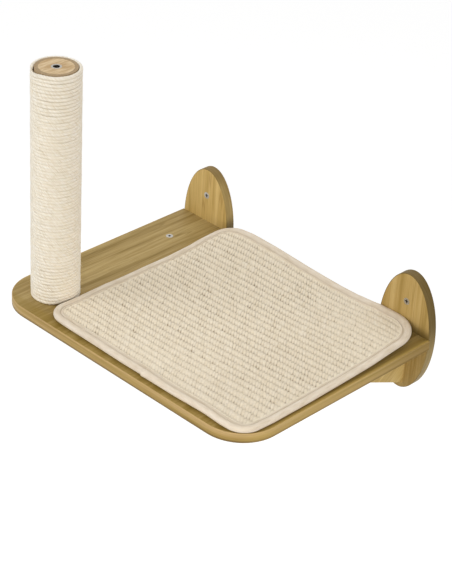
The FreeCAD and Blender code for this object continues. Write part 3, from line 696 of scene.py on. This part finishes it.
def add_staples(material):
    """Round-wire staples over the rope's two ends, on the side away from the shelf's middle."""
    arc = np.linspace(0, math.pi / 2, BEND_STEPS)
    inward = STAPLE_BEND * (1 - np.sin(arc))
    sideways = STAPLE_HALF_WIDTH - STAPLE_BEND * (1 - np.cos(arc))
    half = np.concatenate([[[STAPLE_LEG, STAPLE_HALF_WIDTH]], np.stack([inward, sideways], axis=-1)])
    outline = np.concatenate([half, half[::-1] * [1, -1]])
    bent = np.column_stack([outline, np.zeros(len(outline))]) - [PLUMP_RADIUS + STAPLE_STAND, 0, 0]
    seats = rope_line(np.array([0.5, math.floor(ROPE_TURNS - 0.6) + 0.5]))
    points, faces = tubes(seats[:, None] + bent, np.full(len(bent), STAPLE_WIRE), sides=8)
    staples = piece("rope_staples_bent", points, faces, material, "shelf", "plated_steel")
    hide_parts("rope_staples")


# Mat: distances in millimetres from its left and front edges, heights over its underside

mat_low, mat_high = corners("mat_binding")
MAT_WIDTH, MAT_DEPTH = (mat_high - mat_low)[:2]
MAT_CORNER = 24.0
FAR_CORNER = 40.0
LIFT_PLACES = (
    0, 12.5, 26.5, 39.5, 50.5, 77.5, 106.5, 132.5, 159.5, 184.5, 209.5, 232.5, 244.5, 271.5, 287.5, 314,
)
LIFT_BACK = (5.5, 6.8, 7.9, 9.4, 9.5, 9.0, 7.2, 5.4, 4.2, 3.3, 3.7, 6.1, 7.9, 8.0, 7.6, 6.5)
LIFT_START_LEFT = 95.0
LIFT_START_RIGHT = 120.0
LIFT_POWER = 1.5
LIFT_LIMIT_SHARE = 1.05
STITCH_LENGTH = 4.0
BACKING_INSET = 9.0
BACKING_LOW = 0.6
BACKING_HIGH = 1.6
LAYER_GAP = 0.02


def mat_points(across, deep, height):
    """Model points of places on the mat, which lifts toward its back edge."""
    back = np.interp(across, LIFT_PLACES, LIFT_BACK)
    start = LIFT_START_LEFT + (LIFT_START_RIGHT - LIFT_START_LEFT) * across / MAT_WIDTH
    lift = back * np.clip((deep - start) / (MAT_DEPTH - start), 0, LIFT_LIMIT_SHARE) ** LIFT_POWER
    return np.stack([mat_low[0] + across, mat_low[1] + deep, mat_low[2] + lift + height], axis=-1)


def far_corner(a, d):
    """True in the quarter of the mat whose corner is the roundest, back right."""
    return (a > MAT_WIDTH / 2) & (d > MAT_DEPTH / 2)


def round_corners(a, d, inset):
    """Moves points of an inset rectangle so that its corners follow the mat's round ones."""
    radius = np.where(far_corner(a, d), FAR_CORNER, MAT_CORNER)
    reach = radius - inset
    u = np.clip(radius - np.minimum(a, MAT_WIDTH - a), 0, reach)
    v = np.clip(radius - np.minimum(d, MAT_DEPTH - d), 0, reach)
    shift_a = u * (1 - np.sqrt(1 - v**2 / (2 * reach**2)))
    shift_d = v * (1 - np.sqrt(1 - u**2 / (2 * reach**2)))
    rounded_a = a + np.where(a < MAT_WIDTH / 2, shift_a, -shift_a)
    rounded_d = d + np.where(d < MAT_DEPTH / 2, shift_d, -shift_d)
    return rounded_a, rounded_d


# Tape round the mat. A profile is (distance in from the edge, height); a push is (places, moves outward)

TAPE_WIDTH = 13.0
TAPE_THICKNESS = 0.6
TAPE_STEP = 1.0
TAPE_TURN = 13.0
TAPE_TOP = (
    (13.0, 4.05), (12.4, 4.35), (11.6, 4.52), (10.6, 4.5), (9.9, 4.3), (9.4, 4.05), (8.9, 4.3), (7.6, 4.8),
    (5.4, 5.1), (3.2, 5.0), (1.8, 4.6), (0.7, 3.9), (0.15, 3.1),
)
TAPE_UNDER = (
    (0.0, 2.4), (0.25, 1.5), (1.0, 0.6), (2.2, 0.15), (5.0, 0.0), (8.8, 0.05), (9.4, 0.2), (10.0, 0.05),
    (13.0, 0.1),
)
TAPE_SIDE_LEVEL = 2.4
FRONT_PUSH = (
    (24, 42, 66, 90, 114, 132, 150, 159, 160, 186, 210, 228, 250, 258, 282, 290),
    (0.2, 0.8, 0.9, 1.1, 1.6, 1.9, 1.5, 1.4, 1.8, 2.4, 2.5, 1.7, 0.8, 0.8, 2.0, 1.5),
)
RIGHT_PUSH = (
    (24, 44, 80, 104, 128, 164, 200, 224, 248, 268),
    (0.9, 2.0, 1.8, 1.5, 0.8, 0.5, 0.2, -1.0, -2.1, -2.0),
)
BACK_PUSH = ((24, 60, 100, 215, 240, 290), (2.7, 2.0, 2.1, 2.3, 1.0, 1.2))
LEFT_PUSH = (
    (24, 44, 68, 92, 110, 150, 188, 224, 244, 268),
    (1.0, 0.1, 0.6, 1.0, -0.1, -0.5, -2.2, -1.5, 0.4, 0.6),
)
SIDES = ("front", "right", "back", "left")
ROLL_SHARE = {"front": 0.81, "right": 0.78, "back": 1.20, "left": 0.90}
FLANGE_SHARE = {"front": 0.9, "right": 0.85, "back": 0.5, "left": 0.4}
SEAM_INSET = 9.4
SEAM_SHADE_WIDTH = 2.2
SEAM_LINE_WIDTH = 0.7
PUCKER_DEPTH = 0.10
PUCKER_WIDTH = 1.4
PUFF_INSET = 4.5
PUFF_WIDTH = 3.0
SLACK_WAVES = ((0.12, 17.0, 0.0), (0.08, 6.1, 1.0))
LAP_AT = 160.0
LAP_LENGTH = 24.0
LAP_RISE = 0.5
LAP_UNDER_SHARE = 0.4
LAP_FLARE = 1.2
FLARE_LENGTH = 9.0
FLARE_INSET = 4.0
CLOTH_WAVES = 0.36


def mat_outline(step):
    """Points round the mat's edge from the tape's joint on the front, with inward directions and lengths."""
    r = MAT_CORNER
    far = FAR_CORNER
    joint = np.array([LAP_AT, 0.0])
    bends = (
        ((MAT_WIDTH - r, r), r), ((MAT_WIDTH - far, MAT_DEPTH - far), far),
        ((r, MAT_DEPTH - r), r), ((r, r), r), (joint, 0.0),
    )
    here = joint
    ahead = np.array([1.0, 0.0])
    points = []
    inward = []
    for bend, radius in bends:
        side = np.array([-ahead[1], ahead[0]])
        stretch = bend - radius * side - here
        count = max(int(np.linalg.norm(stretch) / step), 1)
        points.append(here + stretch * np.arange(count)[:, None] / count)
        inward.append(np.tile(side, (count, 1)))
        count = int(radius * math.pi / 2 / step)
        angle = np.arange(count)[:, None] * math.pi / 2 / max(count, 1)
        spoke = ahead * np.sin(angle) - side * np.cos(angle)
        points.append(bend + radius * spoke)
        inward.append(-spoke)
        here = bend + radius * ahead
        ahead = side
    points = np.concatenate(points)
    inward = np.concatenate(inward)
    lengths = lengths_along(np.vstack([points, points[:1]]))
    return points, inward, lengths[:-1], lengths[-1]


def by_side(points, inward, *sides):
    """Blends values given along the front, right, back and left, by where each point of the edge faces."""
    share = np.clip(np.stack([inward[:, 1], -inward[:, 0], -inward[:, 1], inward[:, 0]]), 0, 1) ** 2
    across, deep = points.T
    values = [np.interp(place, *side) for place, side in zip((across, deep, across, deep), sides)]
    return (share * values).sum(axis=0)


def tape_inset(inset, roll, flange):
    """Distance from the tape's outer edge, scaled on its own outside and inside the seam."""
    return np.minimum(inset, SEAM_INSET) * roll + np.maximum(inset - SEAM_INSET, 0) * flange


def tape_run(step):
    """The mat's edge under the tape, with inward directions, lengths and the tape's two width shares."""
    points, inward, lengths, total = mat_outline(step)
    push = by_side(points, inward, FRONT_PUSH, RIGHT_PUSH, BACK_PUSH, LEFT_PUSH)
    roll = by_side(points, inward, *[((0, 1), (ROLL_SHARE[side],) * 2) for side in SIDES])
    flange = by_side(points, inward, *[((0, 1), (FLANGE_SHARE[side],) * 2) for side in SIDES])
    return points - inward * push[:, None], inward, lengths, total, roll, flange


def clear_of_tape(a, d):
    """How far points lie inside the tape's inner edge."""
    reach = {side: tape_inset(TAPE_WIDTH, ROLL_SHARE[side], FLANGE_SHARE[side]) for side in SIDES}
    left = a - reach["left"] + np.interp(d, *LEFT_PUSH)
    right = MAT_WIDTH - a - reach["right"] + np.interp(d, *RIGHT_PUSH)
    front = d - reach["front"] + np.interp(a, *FRONT_PUSH)
    back = MAT_DEPTH - d - reach["back"] + np.interp(a, *BACK_PUSH)
    across = np.minimum(left, right)
    deep = np.minimum(front, back)
    turn = TAPE_TURN + np.where(far_corner(a, d), FAR_CORNER - MAT_CORNER, 0)
    corner = turn - np.hypot(np.maximum(turn - across, 0), np.maximum(turn - deep, 0))
    return np.where((across < turn) & (deep < turn), corner, np.minimum(across, deep))


def bell(offset, width):
    """1 at no offset, fading to both sides."""
    return np.exp(-((offset / width) ** 2))


def tape_material():
    graph = Graph("binding_tape")
    cloth = graph.attribute("cloth", "Vector")
    along = graph.wave(cloth, CLOTH_WAVES, 0.6, "X")
    over = graph.wave(cloth, CLOTH_WAVES, 0.6, "Y")
    threads = graph.math("MULTIPLY", along, over)
    mottle_and_shade = graph.noise(graph.stretch(cloth, (0.06, 0.2, 1.0)), 1.0, detail=3.0)
    colour = graph.ramp(mottle_and_shade, (0.3, (222, 207, 184)), (0.5, (234, 221, 202)), (0.7, (240, 230, 214)))
    # Painted shade between the threads
    colour = graph.mix(graph.fit(threads, 0.0, 0.5, 0.2, 0.0), colour, (200, 181, 148))
    # Painted shade along the seam's puckered groove
    colour = graph.mix(graph.math("MULTIPLY", graph.attribute("seam"), 0.45), colour, (164, 142, 108))
    return graph.surface(
        Base_Color=colour, Roughness=0.88, Normal=graph.bump(threads, 0.0002, 0.6), Sheen_Weight=0.15,
        Specular_IOR_Level=0.2,
    )


def tape_profile():
    """The folded tape's section: its outside, then its inside back to the start."""
    outer = np.array(TAPE_TOP + TAPE_UNDER)
    slope = unit(np.gradient(outer, axis=0))
    inner = outer + np.stack([slope[:, 1], -slope[:, 0]], axis=-1) * TAPE_THICKNESS
    inner[:, 0] = np.minimum(inner[:, 0], TAPE_WIDTH)
    return np.concatenate([outer, inner[::-1]])


def add_tape():
    """Cloth tape folded round the mat's edge, with a raised overlap at its joint."""
    points, inward, lengths, _, roll, flange = tape_run(TAPE_STEP)
    profile = tape_profile()
    from_edge, from_foot = profile.T
    upper = from_foot > TAPE_SIDE_LEVEL
    off_seam = from_edge - SEAM_INSET
    lapped = ((lengths > 0) & (lengths < LAP_LENGTH)).astype(float)
    pucker = PUCKER_DEPTH * (1 - np.cos(lengths / STITCH_LENGTH * TURN))
    slack = sum(size * np.sin(lengths / wave + start) for size, wave, start in SLACK_WAVES)
    rise = LAP_RISE * np.where(upper, 1.0, -LAP_UNDER_SHARE)
    height = from_foot + lapped[:, None] * rise
    height = height - pucker[:, None] * bell(off_seam, PUCKER_WIDTH) * upper
    height = height + slack[:, None] * bell(from_edge - PUFF_INSET, PUFF_WIDTH) * upper
    flare = lapped * LAP_FLARE * np.exp(-lengths / FLARE_LENGTH)
    inset = tape_inset(from_edge, roll[:, None], flange[:, None])
    inset = inset - flare[:, None] * (from_edge < FLARE_INSET)
    place = points[:, None] + inward[:, None] * inset[..., None]
    made = mat_points(place[..., 0], place[..., 1], height).reshape(-1, 3)
    cloth = np.stack(np.broadcast_arrays(lengths[:, None], lengths_along(profile), 0.0), axis=-1)
    # Painted shade along the seam, for the tape material
    seam = (bell(off_seam, SEAM_SHADE_WIDTH) + bell(off_seam, SEAM_LINE_WIDTH)) / 2
    faces = grid(len(points), len(profile), wrap_rows=True, wrap_columns=True)
    return piece(
        "mat_tape", made, faces, tape_material(), "mat", "binding_tape",
        cloth=cloth.reshape(-1, 3), seam=np.broadcast_to(seam, height.shape).ravel(),
    )


SEAM_STEP = 0.5
STITCH_GAP = 0.4
STITCH_BOW = (-0.35, 0.0, 0.1, 0.0, -0.35)
STITCH_RADII = (0.16, 0.28, 0.32, 0.28, 0.16)
STITCH_TOP = 4.16
STITCH_UNDER = 0.12


def smooth_yarn(name, dark, light, cells, detail, roughness):
    """Sewing thread or nylon, with a faint sheen."""
    graph = Graph(name)
    tone = graph.noise(graph.place(), cells, detail=detail)
    colour = graph.ramp(tone, (0.3, dark), (0.7, light))
    relief = graph.bump(tone, FIBRE_RELIEF)
    return graph.surface(Base_Color=colour, Roughness=roughness, Normal=relief, Sheen_Weight=0.1)


def add_seam():
    """Lock stitches in the tape's groove, above and below."""
    points, inward, lengths, total, roll, _ = tape_run(SEAM_STEP)
    seam = points + inward * SEAM_INSET * roll[:, None]
    count = int(total / STITCH_LENGTH)
    begin = np.arange(count)[:, None] * total / count
    reach = begin + np.linspace(STITCH_GAP, STITCH_LENGTH - STITCH_GAP, len(STITCH_BOW))
    a = np.interp(reach, lengths, seam[:, 0])
    d = np.interp(reach, lengths, seam[:, 1])
    lapped = np.where(reach.mean(axis=1, keepdims=True) < LAP_LENGTH, LAP_RISE, 0.0)
    above = mat_points(a, d, STITCH_TOP + lapped + STITCH_BOW)
    below = mat_points(a, d, STITCH_UNDER - LAP_UNDER_SHARE * lapped - STITCH_BOW)
    paths = np.stack([above, below], axis=1).reshape(-1, len(STITCH_BOW), 3)
    made, faces = tubes(paths, STITCH_RADII, sides=6)
    thread = smooth_yarn("sewing_thread", (190, 170, 138), (210, 193, 165), 900.0, 2.0, 0.6)
    return piece("mat_stitches", made, faces, thread, "mat", "binding_tape")


# Weave: ribs along X, each wrapped by slanted strands, with pits in the gaps between ribs

WEAVE_INSET = 5.0
STITCH_SAMPLES = 5
RIB_WIDTH = 9.31
RIB_SAMPLES = 7
RIB_START = 6.8
RIB_ROUNDING = (2.4, 0.8)
STRAND_ROUNDING = (2.2, 0.7)
GAP_LEVEL = 3.4
RIB_HEIGHT = 1.4
STRAND_DEPTH = 0.45
PIT_DEPTH = 1.1
DOT_DEPTH = 0.5
PRESSED_LEVEL = 4.15
PRESSED_DEPTH = 0.7
PRESSED_LENGTH = 4.0
FREE_START = 1.5
FREE_LENGTH = 5.5
EDGE_FADE = 8.0
TILT_START = 0.0044
TILT_GROWTH = 0.0000958
TILT_FADE = 60.0
SWAY_WAVES = ((0.45, 37.0, 61.0), (0.25, 13.0, 9.0))
WANDER = 0.55
WANDER_STEP = 7.0
LOUD_SHARE = 0.05
FIRM_SPREAD = 0.4
FIRM_LIMITS = (0.3, 2.0)
DOT_SHARE = 0.016
DOT_POWER = 0.7
GAP_SHADE = 0.16
STRAND_SHADE = 0.18
PIT_SHADE = 0.46
DOT_SHADE = 1.5
GRAIN_SHADE = 0.07
GRAIN_TONE = 0.14
# Painted shade that darkens the weave toward the mat's right side
RIGHT_SHADE_SHARE = 0.09
RIGHT_SHADE_START = 150.0
RIGHT_SHADE_LENGTH = 110.0
RELIEF_ACROSS = (70, 165, 260)
RELIEF_DEEP = (38, 103, 170, 235)
RELIEF_SHARE = ((0.92, 0.76, 0.70), (1.18, 1.0, 0.88), (1.16, 1.15, 0.92), (1.2, 1.22, 0.5))
EVEN_SHARE = 0.4
COARSE_STEP = 10


def weave_material():
    graph = Graph("sisal_weave")
    yarn = graph.attribute("yarn", "Vector")
    crease = graph.attribute("crease")
    tone = graph.attribute("tone")
    fibres = graph.noise(graph.stretch(yarn, (2.4, 0.35, 1.0)), 1.0, detail=2.0)
    specks = graph.noise(graph.stretch(yarn, (0.5, 0.5, 1.0)), 1.0, detail=2.0)
    mixed = graph.blend(fibres, tone, 0.6)
    colour = graph.ramp(mixed, (0.28, (222, 207, 180)), (0.48, (240, 228, 205)), (0.68, (250, 242, 226)))
    colour = graph.mix(graph.fit(specks, 0.62, 0.75, 0.0, 0.15), colour, (200, 180, 144))
    # Painted shade in the rib gaps, strand grooves and pits, with random grain speckle mixed in
    colour = graph.mix(crease, colour, (138, 114, 80))
    return graph.surface(
        Base_Color=colour, Roughness=0.85, Normal=graph.bump(fibres, 0.0004, 0.6), Specular_IOR_Level=0.25,
    )


def hump(place, samples, rounding):
    """1 in the middle of a stretch of samples and 0 at its start, with rounded shoulders."""
    return (1 - np.abs(2 * place / samples - 1) ** rounding[0]) ** rounding[1]


def weave_relief(across, deep):
    """Strength of the relief at each point."""
    by_row = np.stack([np.interp(across, RELIEF_ACROSS, row) for row in RELIEF_SHARE])
    return np.stack([np.interp(deep, RELIEF_DEEP, column) for column in by_row.T], axis=1)


def weave_yarns(across, deep):
    """Height, painted shade, tone, grain and shift along the rib of each point of an even weave."""
    rng = np.random.default_rng(5)
    ahead = np.arange(len(deep)) + round((RIB_START - WEAVE_INSET) / RIB_WIDTH * RIB_SAMPLES)
    rib_number = ahead // RIB_SAMPLES
    in_rib = ahead % RIB_SAMPLES
    place = np.arange(len(across))[None, :] + in_rib[:, None]
    strand = place // STITCH_SAMPLES
    gap = 1 - hump(in_rib, RIB_SAMPLES, RIB_ROUNDING)[:, None]
    groove = 1 - hump(place % STITCH_SAMPLES, STITCH_SAMPLES, STRAND_ROUNDING)
    shape = (rib_number.max() + 1, strand.max() + 1)
    own = (rib_number[:, None], strand)
    loud = rng.normal(0, 1, shape)[own]
    firm = np.clip(1 + FIRM_SPREAD * rng.normal(0, 1, shape), *FIRM_LIMITS)[own]
    dots = (rng.random(shape) < DOT_SHARE)[own] * groove**DOT_POWER * gap
    grain = rng.normal(0, 1, place.shape)
    knots = np.arange(0, MAT_WIDTH + WANDER_STEP, WANDER_STEP)
    wander = rng.normal(0, WANDER, (shape[0], len(knots)))
    wander = np.stack([np.interp(across, knots, row) for row in wander])[rib_number]
    height = GAP_LEVEL + RIB_HEIGHT * (1 - gap) * (1 + LOUD_SHARE * loud)
    height = height - (STRAND_DEPTH * (1 - gap) + PIT_DEPTH * gap) * groove - DOT_DEPTH * dots
    # Painted shade in the rib gaps, strand grooves and dark pits
    shade = GAP_SHADE * gap + (STRAND_SHADE + PIT_SHADE * gap) * groove * firm + DOT_SHADE * dots
    tone = 0.5 + LOUD_SHARE * loud + GRAIN_TONE * grain
    return height, shade, tone, grain, wander


def weave_top(across, deep):
    """Points of the weave's upper side, with the painted shade and the tone of each."""
    height, shade, tone, grain, wander = weave_yarns(across, deep)
    relief = weave_relief(across, deep)
    a, d = np.meshgrid(across, deep)
    to_end = np.minimum(d, MAT_DEPTH - d)
    to_edge = np.minimum(np.minimum(a, MAT_WIDTH - a), to_end)
    inner = ease((to_edge - WEAVE_INSET) / EDGE_FADE)
    tilt = TILT_START * a + TILT_GROWTH * a**2
    tilt = (tilt - tilt.mean()) * ease((to_end - WEAVE_INSET) / TILT_FADE)
    sway = sum(size * np.sin(a / wide + d / long) for size, wide, long in SWAY_WAVES)
    a, d = round_corners(a + wander * inner, d + sway * inner + tilt, WEAVE_INSET)
    clear = clear_of_tape(a, d)
    free = ease((clear + FREE_START) / FREE_LENGTH)
    middle = GAP_LEVEL + RIB_HEIGHT / 2
    height = middle + (height - middle) * (EVEN_SHARE + (1 - EVEN_SHARE) * relief)
    pressed = PRESSED_LEVEL - PRESSED_DEPTH * np.clip(-clear / PRESSED_LENGTH, 0, 1)
    height = pressed + (height - pressed) * free
    # Painted shade, darker toward the mat's right side
    mottle_and_shade = RIGHT_SHADE_SHARE * ease((a - RIGHT_SHADE_START) / RIGHT_SHADE_LENGTH)
    # Painted shade, plus random grain and the darkening toward the right side
    crease = np.clip(shade * relief + GRAIN_SHADE * grain + mottle_and_shade, 0, 1) * free
    return mat_points(a, d, height).reshape(-1, 3), crease.ravel(), tone.ravel()


def join_edges(fine_ids, coarse_ids, marks, flip):
    """Faces from a fine edge to the coarse one below it, which has a point at each mark."""
    faces = []
    for i in range(len(marks) - 1):
        fine = fine_ids[marks[i]:marks[i + 1] + 1].tolist()
        face = fine + [int(coarse_ids[i + 1]), int(coarse_ids[i])]
        faces.append(face if flip else face[::-1])
    return faces


def add_weave():
    """The woven field, closed by side walls and a plain underside of fewer points."""
    columns = int((MAT_WIDTH - 2 * WEAVE_INSET) / STITCH_LENGTH * STITCH_SAMPLES) + 1
    rows = int((MAT_DEPTH - 2 * WEAVE_INSET) / RIB_WIDTH * RIB_SAMPLES) + 1
    across = WEAVE_INSET + np.linspace(0, MAT_WIDTH - 2 * WEAVE_INSET, columns)
    deep = WEAVE_INSET + np.linspace(0, MAT_DEPTH - 2 * WEAVE_INSET, rows)
    top, crease, tone = weave_top(across, deep)
    row_marks = np.unique(np.append(np.arange(0, rows, COARSE_STEP), rows - 1))
    column_marks = np.unique(np.append(np.arange(0, columns, COARSE_STEP), columns - 1))
    a, d = round_corners(*np.meshgrid(across[column_marks], deep[row_marks]), WEAVE_INSET)
    bottom = mat_points(a, d, BACKING_HIGH + LAYER_GAP).reshape(-1, 3)
    ids = np.arange(rows * columns).reshape(rows, columns)
    low_ids = len(top) + np.arange(a.size).reshape(a.shape)
    faces = [face[1:] + face[:1] for face in grid(rows, columns)]
    faces += [face[::-1] for face in grid(len(row_marks), len(column_marks), start=len(top))]
    faces += join_edges(ids[0], low_ids[0], column_marks, False)
    faces += join_edges(ids[-1], low_ids[-1], column_marks, True)
    faces += join_edges(ids[:, 0], low_ids[:, 0], row_marks, True)
    faces += join_edges(ids[:, -1], low_ids[:, -1], row_marks, False)
    points = np.concatenate([top, bottom])
    below = np.zeros(len(bottom))
    return piece(
        "mat_weave", points, faces, weave_material(), "mat", "sisal_weave",
        # The underside gets full painted shade
        yarn=points * [1, 1, 0], crease=np.concatenate([crease, below + 1]),
        tone=np.concatenate([tone, below]),
    )


BACKING_COLUMNS = 149
BACKING_ROWS = 138
EMBOSS_LEVEL = 0.1
EMBOSS_DEPTH = 0.096


def latex_material():
    graph = Graph("latex_backing")
    place = graph.place()
    cells = graph.node("TexVoronoi", {"Vector": place, "Scale": 330.0}).outputs["Distance"]
    stain = graph.noise(place, 30.0, detail=3.0)
    colour = graph.ramp(stain, (0.35, (205, 194, 168)), (0.65, (222, 212, 190)))
    # Painted shade in the embossed pits
    colour = graph.mix(graph.fit(cells, 0.0, 0.5, 0.3, 0.0), colour, (178, 164, 134))
    return graph.surface(Base_Color=colour, Roughness=0.7, Normal=graph.bump(cells, 0.0004, 0.7))


def add_backing():
    """Latex layer under the weave, its underside embossed."""
    across = np.linspace(BACKING_INSET, MAT_WIDTH - BACKING_INSET, BACKING_COLUMNS)
    deep = np.linspace(BACKING_INSET, MAT_DEPTH - BACKING_INSET, BACKING_ROWS)
    a, d = round_corners(*np.meshgrid(across, deep), BACKING_INSET)
    emboss = EMBOSS_DEPTH * np.cos(a * TURN / STITCH_LENGTH / 2) * np.cos(d * TURN / RIB_WIDTH)
    under = mat_points(a, d, BACKING_LOW + EMBOSS_LEVEL + emboss).reshape(-1, 3)
    over = mat_points(a, d, BACKING_HIGH).reshape(-1, 3)
    faces = [face[::-1] for face in grid(*a.shape)] + grid(*a.shape, start=len(under))
    ids = np.arange(a.size).reshape(a.shape)
    ring = np.concatenate([ids[0, :-1], ids[:-1, -1], ids[-1, :0:-1], ids[:0:-1, 0]])
    for here, there in zip(ring.tolist(), np.roll(ring, -1).tolist()):
        faces.append([here, there, there + len(under), here + len(under)])
    return piece("mat_latex", np.concatenate([under, over]), faces, latex_material(), "mat", "latex")


# Hook and loop patches: levels are heights over the underside of their CAD node

PATCH_LENGTH = 50.0
PATCH_WIDTH = 25.0
PATCH_CORNER = 4.0
PATCH_MARGIN = 1.8
CORNER_STEPS = 7
HOOK_SPACING = 1.7
HOOK_SCATTER = 0.25
HOOK_SHEET = (0.02, 0.4)
HOOK_REACH = (0, 0.02, 0.12, 0.42, 0.62, 0.62)
HOOK_RISE = (0.35, 0.75, 1.02, 1.12, 1.0, 0.82)
HOOK_WIRE = 0.09
LOOP_SHEET = (1.0, 1.45)
LOOP_ROOT = 1.05
LOOP_WIDTHS = (0.5, 0.9)
LOOP_DROPS = (0.7, 1.0)
LOOP_STEPS = 6
LOOP_YARN = 0.07


def patch_corners(node):
    """Front-left corners of the four patches of a CAD node."""
    low, high = corners(node)
    return [(x, y) for x in (low[0], high[0] - PATCH_LENGTH) for y in (low[1], high[1] - PATCH_WIDTH)]


def patch_sheet(x, y, low, high, follow, start):
    """A thin sheet with round corners; follow adds the mat's lift."""
    r = PATCH_CORNER
    right = PATCH_LENGTH - r
    back = PATCH_WIDTH - r
    ring = []
    for cx, cy, first in ((right, r, -90), (right, back, 0), (r, back, 90), (r, r, 180)):
        for angle in np.radians(np.linspace(first, first + 90, CORNER_STEPS)):
            ring.append((x + cx + r * math.cos(angle), y + cy + r * math.sin(angle)))
    ring = np.array(ring)
    count = len(ring)
    lift = follow(ring[:, 0], ring[:, 1])
    points = np.concatenate([np.column_stack([ring, low + lift]), np.column_stack([ring, high + lift])])
    faces = [list(range(start + count - 1, start - 1, -1)), list(range(start + count, start + 2 * count))]
    return points, faces + grid(2, count, wrap_columns=True, start=start)


def mat_lift(x, y):
    """How far the mat's underside stands over its lowest level at model points."""
    return mat_points(x - mat_low[0], y - mat_low[1], 0)[..., 2] - mat_low[2]


def level(x, y):
    """No lift, for what lies on the flat board."""
    return np.zeros_like(x)


def patch_spots(rng, x, y):
    """Scattered spots in rows over a patch, clear of its edge."""
    a = np.arange(PATCH_MARGIN, PATCH_LENGTH - PATCH_MARGIN, HOOK_SPACING)
    d = np.arange(PATCH_MARGIN, PATCH_WIDTH - PATCH_MARGIN, HOOK_SPACING)
    spots = np.stack(np.meshgrid(a, d), axis=-1).reshape(-1, 2)
    return spots + rng.uniform(-HOOK_SCATTER, HOOK_SCATTER, spots.shape) + [x, y]


def grow_hooks(rng, count):
    """Short monofilament hooks bent over at the tip, as paths from their roots."""
    side = rng.choice([-1.0, 1.0], count)
    paths = np.zeros((count, len(HOOK_REACH), 3))
    paths[..., 0] = side[:, None] * HOOK_REACH
    paths[..., 2] = HOOK_RISE
    return paths, np.full(len(HOOK_REACH), HOOK_WIRE)


def grow_loops(rng, count):
    """Soft loops that hang down, as paths from their roots."""
    heading = rng.uniform(0, TURN, count)
    wide = rng.uniform(*LOOP_WIDTHS, count)
    drop = rng.uniform(*LOOP_DROPS, count)
    t = np.linspace(0, math.pi, LOOP_STEPS)
    x = (wide * np.cos(heading))[:, None] * np.cos(t)
    y = (wide * np.sin(heading))[:, None] * np.cos(t)
    return np.stack([x, y, -drop[:, None] * np.sin(t)], axis=-1), np.full(LOOP_STEPS, LOOP_YARN)


def add_patches(name, node, material, body, follow, sheet, root, grow, seed):
    """Four patches: a woven sheet, and hooks or loops that grow from it."""
    rng = np.random.default_rng(seed)
    foot = corners(node)[0][2]
    points = []
    faces = []
    start = 0
    for x, y in patch_corners(node):
        made, sides = patch_sheet(x, y, foot + sheet[0], foot + sheet[1], follow, start)
        points.append(made)
        faces += sides
        start += len(made)
        spots = patch_spots(rng, x, y)
        paths, radii = grow(rng, len(spots))
        roots = np.column_stack([spots, foot + root + follow(*spots.T)])
        made, sides = tubes(roots[:, None] + paths, radii, sides=4)
        points.append(made)
        faces += [[v + start for v in face] for face in sides]
        start += len(made)
    patches = piece(name, np.concatenate(points), faces, material, body, "hook_and_loop")
    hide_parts(node)


bpy.context.scene.view_settings.view_transform = "Standard"
add_camera()
add_world()
add_floor()
for lamp_name, lamp_values in LAMPS.items():
    add_lamp(lamp_name, lamp_values)
dress_nodes()
rope = add_rope()
add_rope_hairs(rope.data.materials[0])
add_staples(nodes["plate_screws"].material_slots[0].material)
weave = add_weave()
tape = add_tape()
seam = add_seam()
backing = add_backing()
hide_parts("mat_panel")
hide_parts("mat_binding")
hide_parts("mat_backing")
hook_nylon = smooth_yarn("hook_nylon", (196, 188, 170), (222, 215, 200), 600.0, 3.0, 0.5)
loop_nylon = smooth_yarn("loop_nylon", (204, 196, 178), (230, 223, 208), 600.0, 3.0, 0.5)
add_patches("hook_pads", "hook_patches", hook_nylon, "shelf", level, HOOK_SHEET, 0.0, grow_hooks, 21)
add_patches("loop_pads", "loop_patches", loop_nylon, "mat", mat_lift, LOOP_SHEET, LOOP_ROOT, grow_loops, 22)
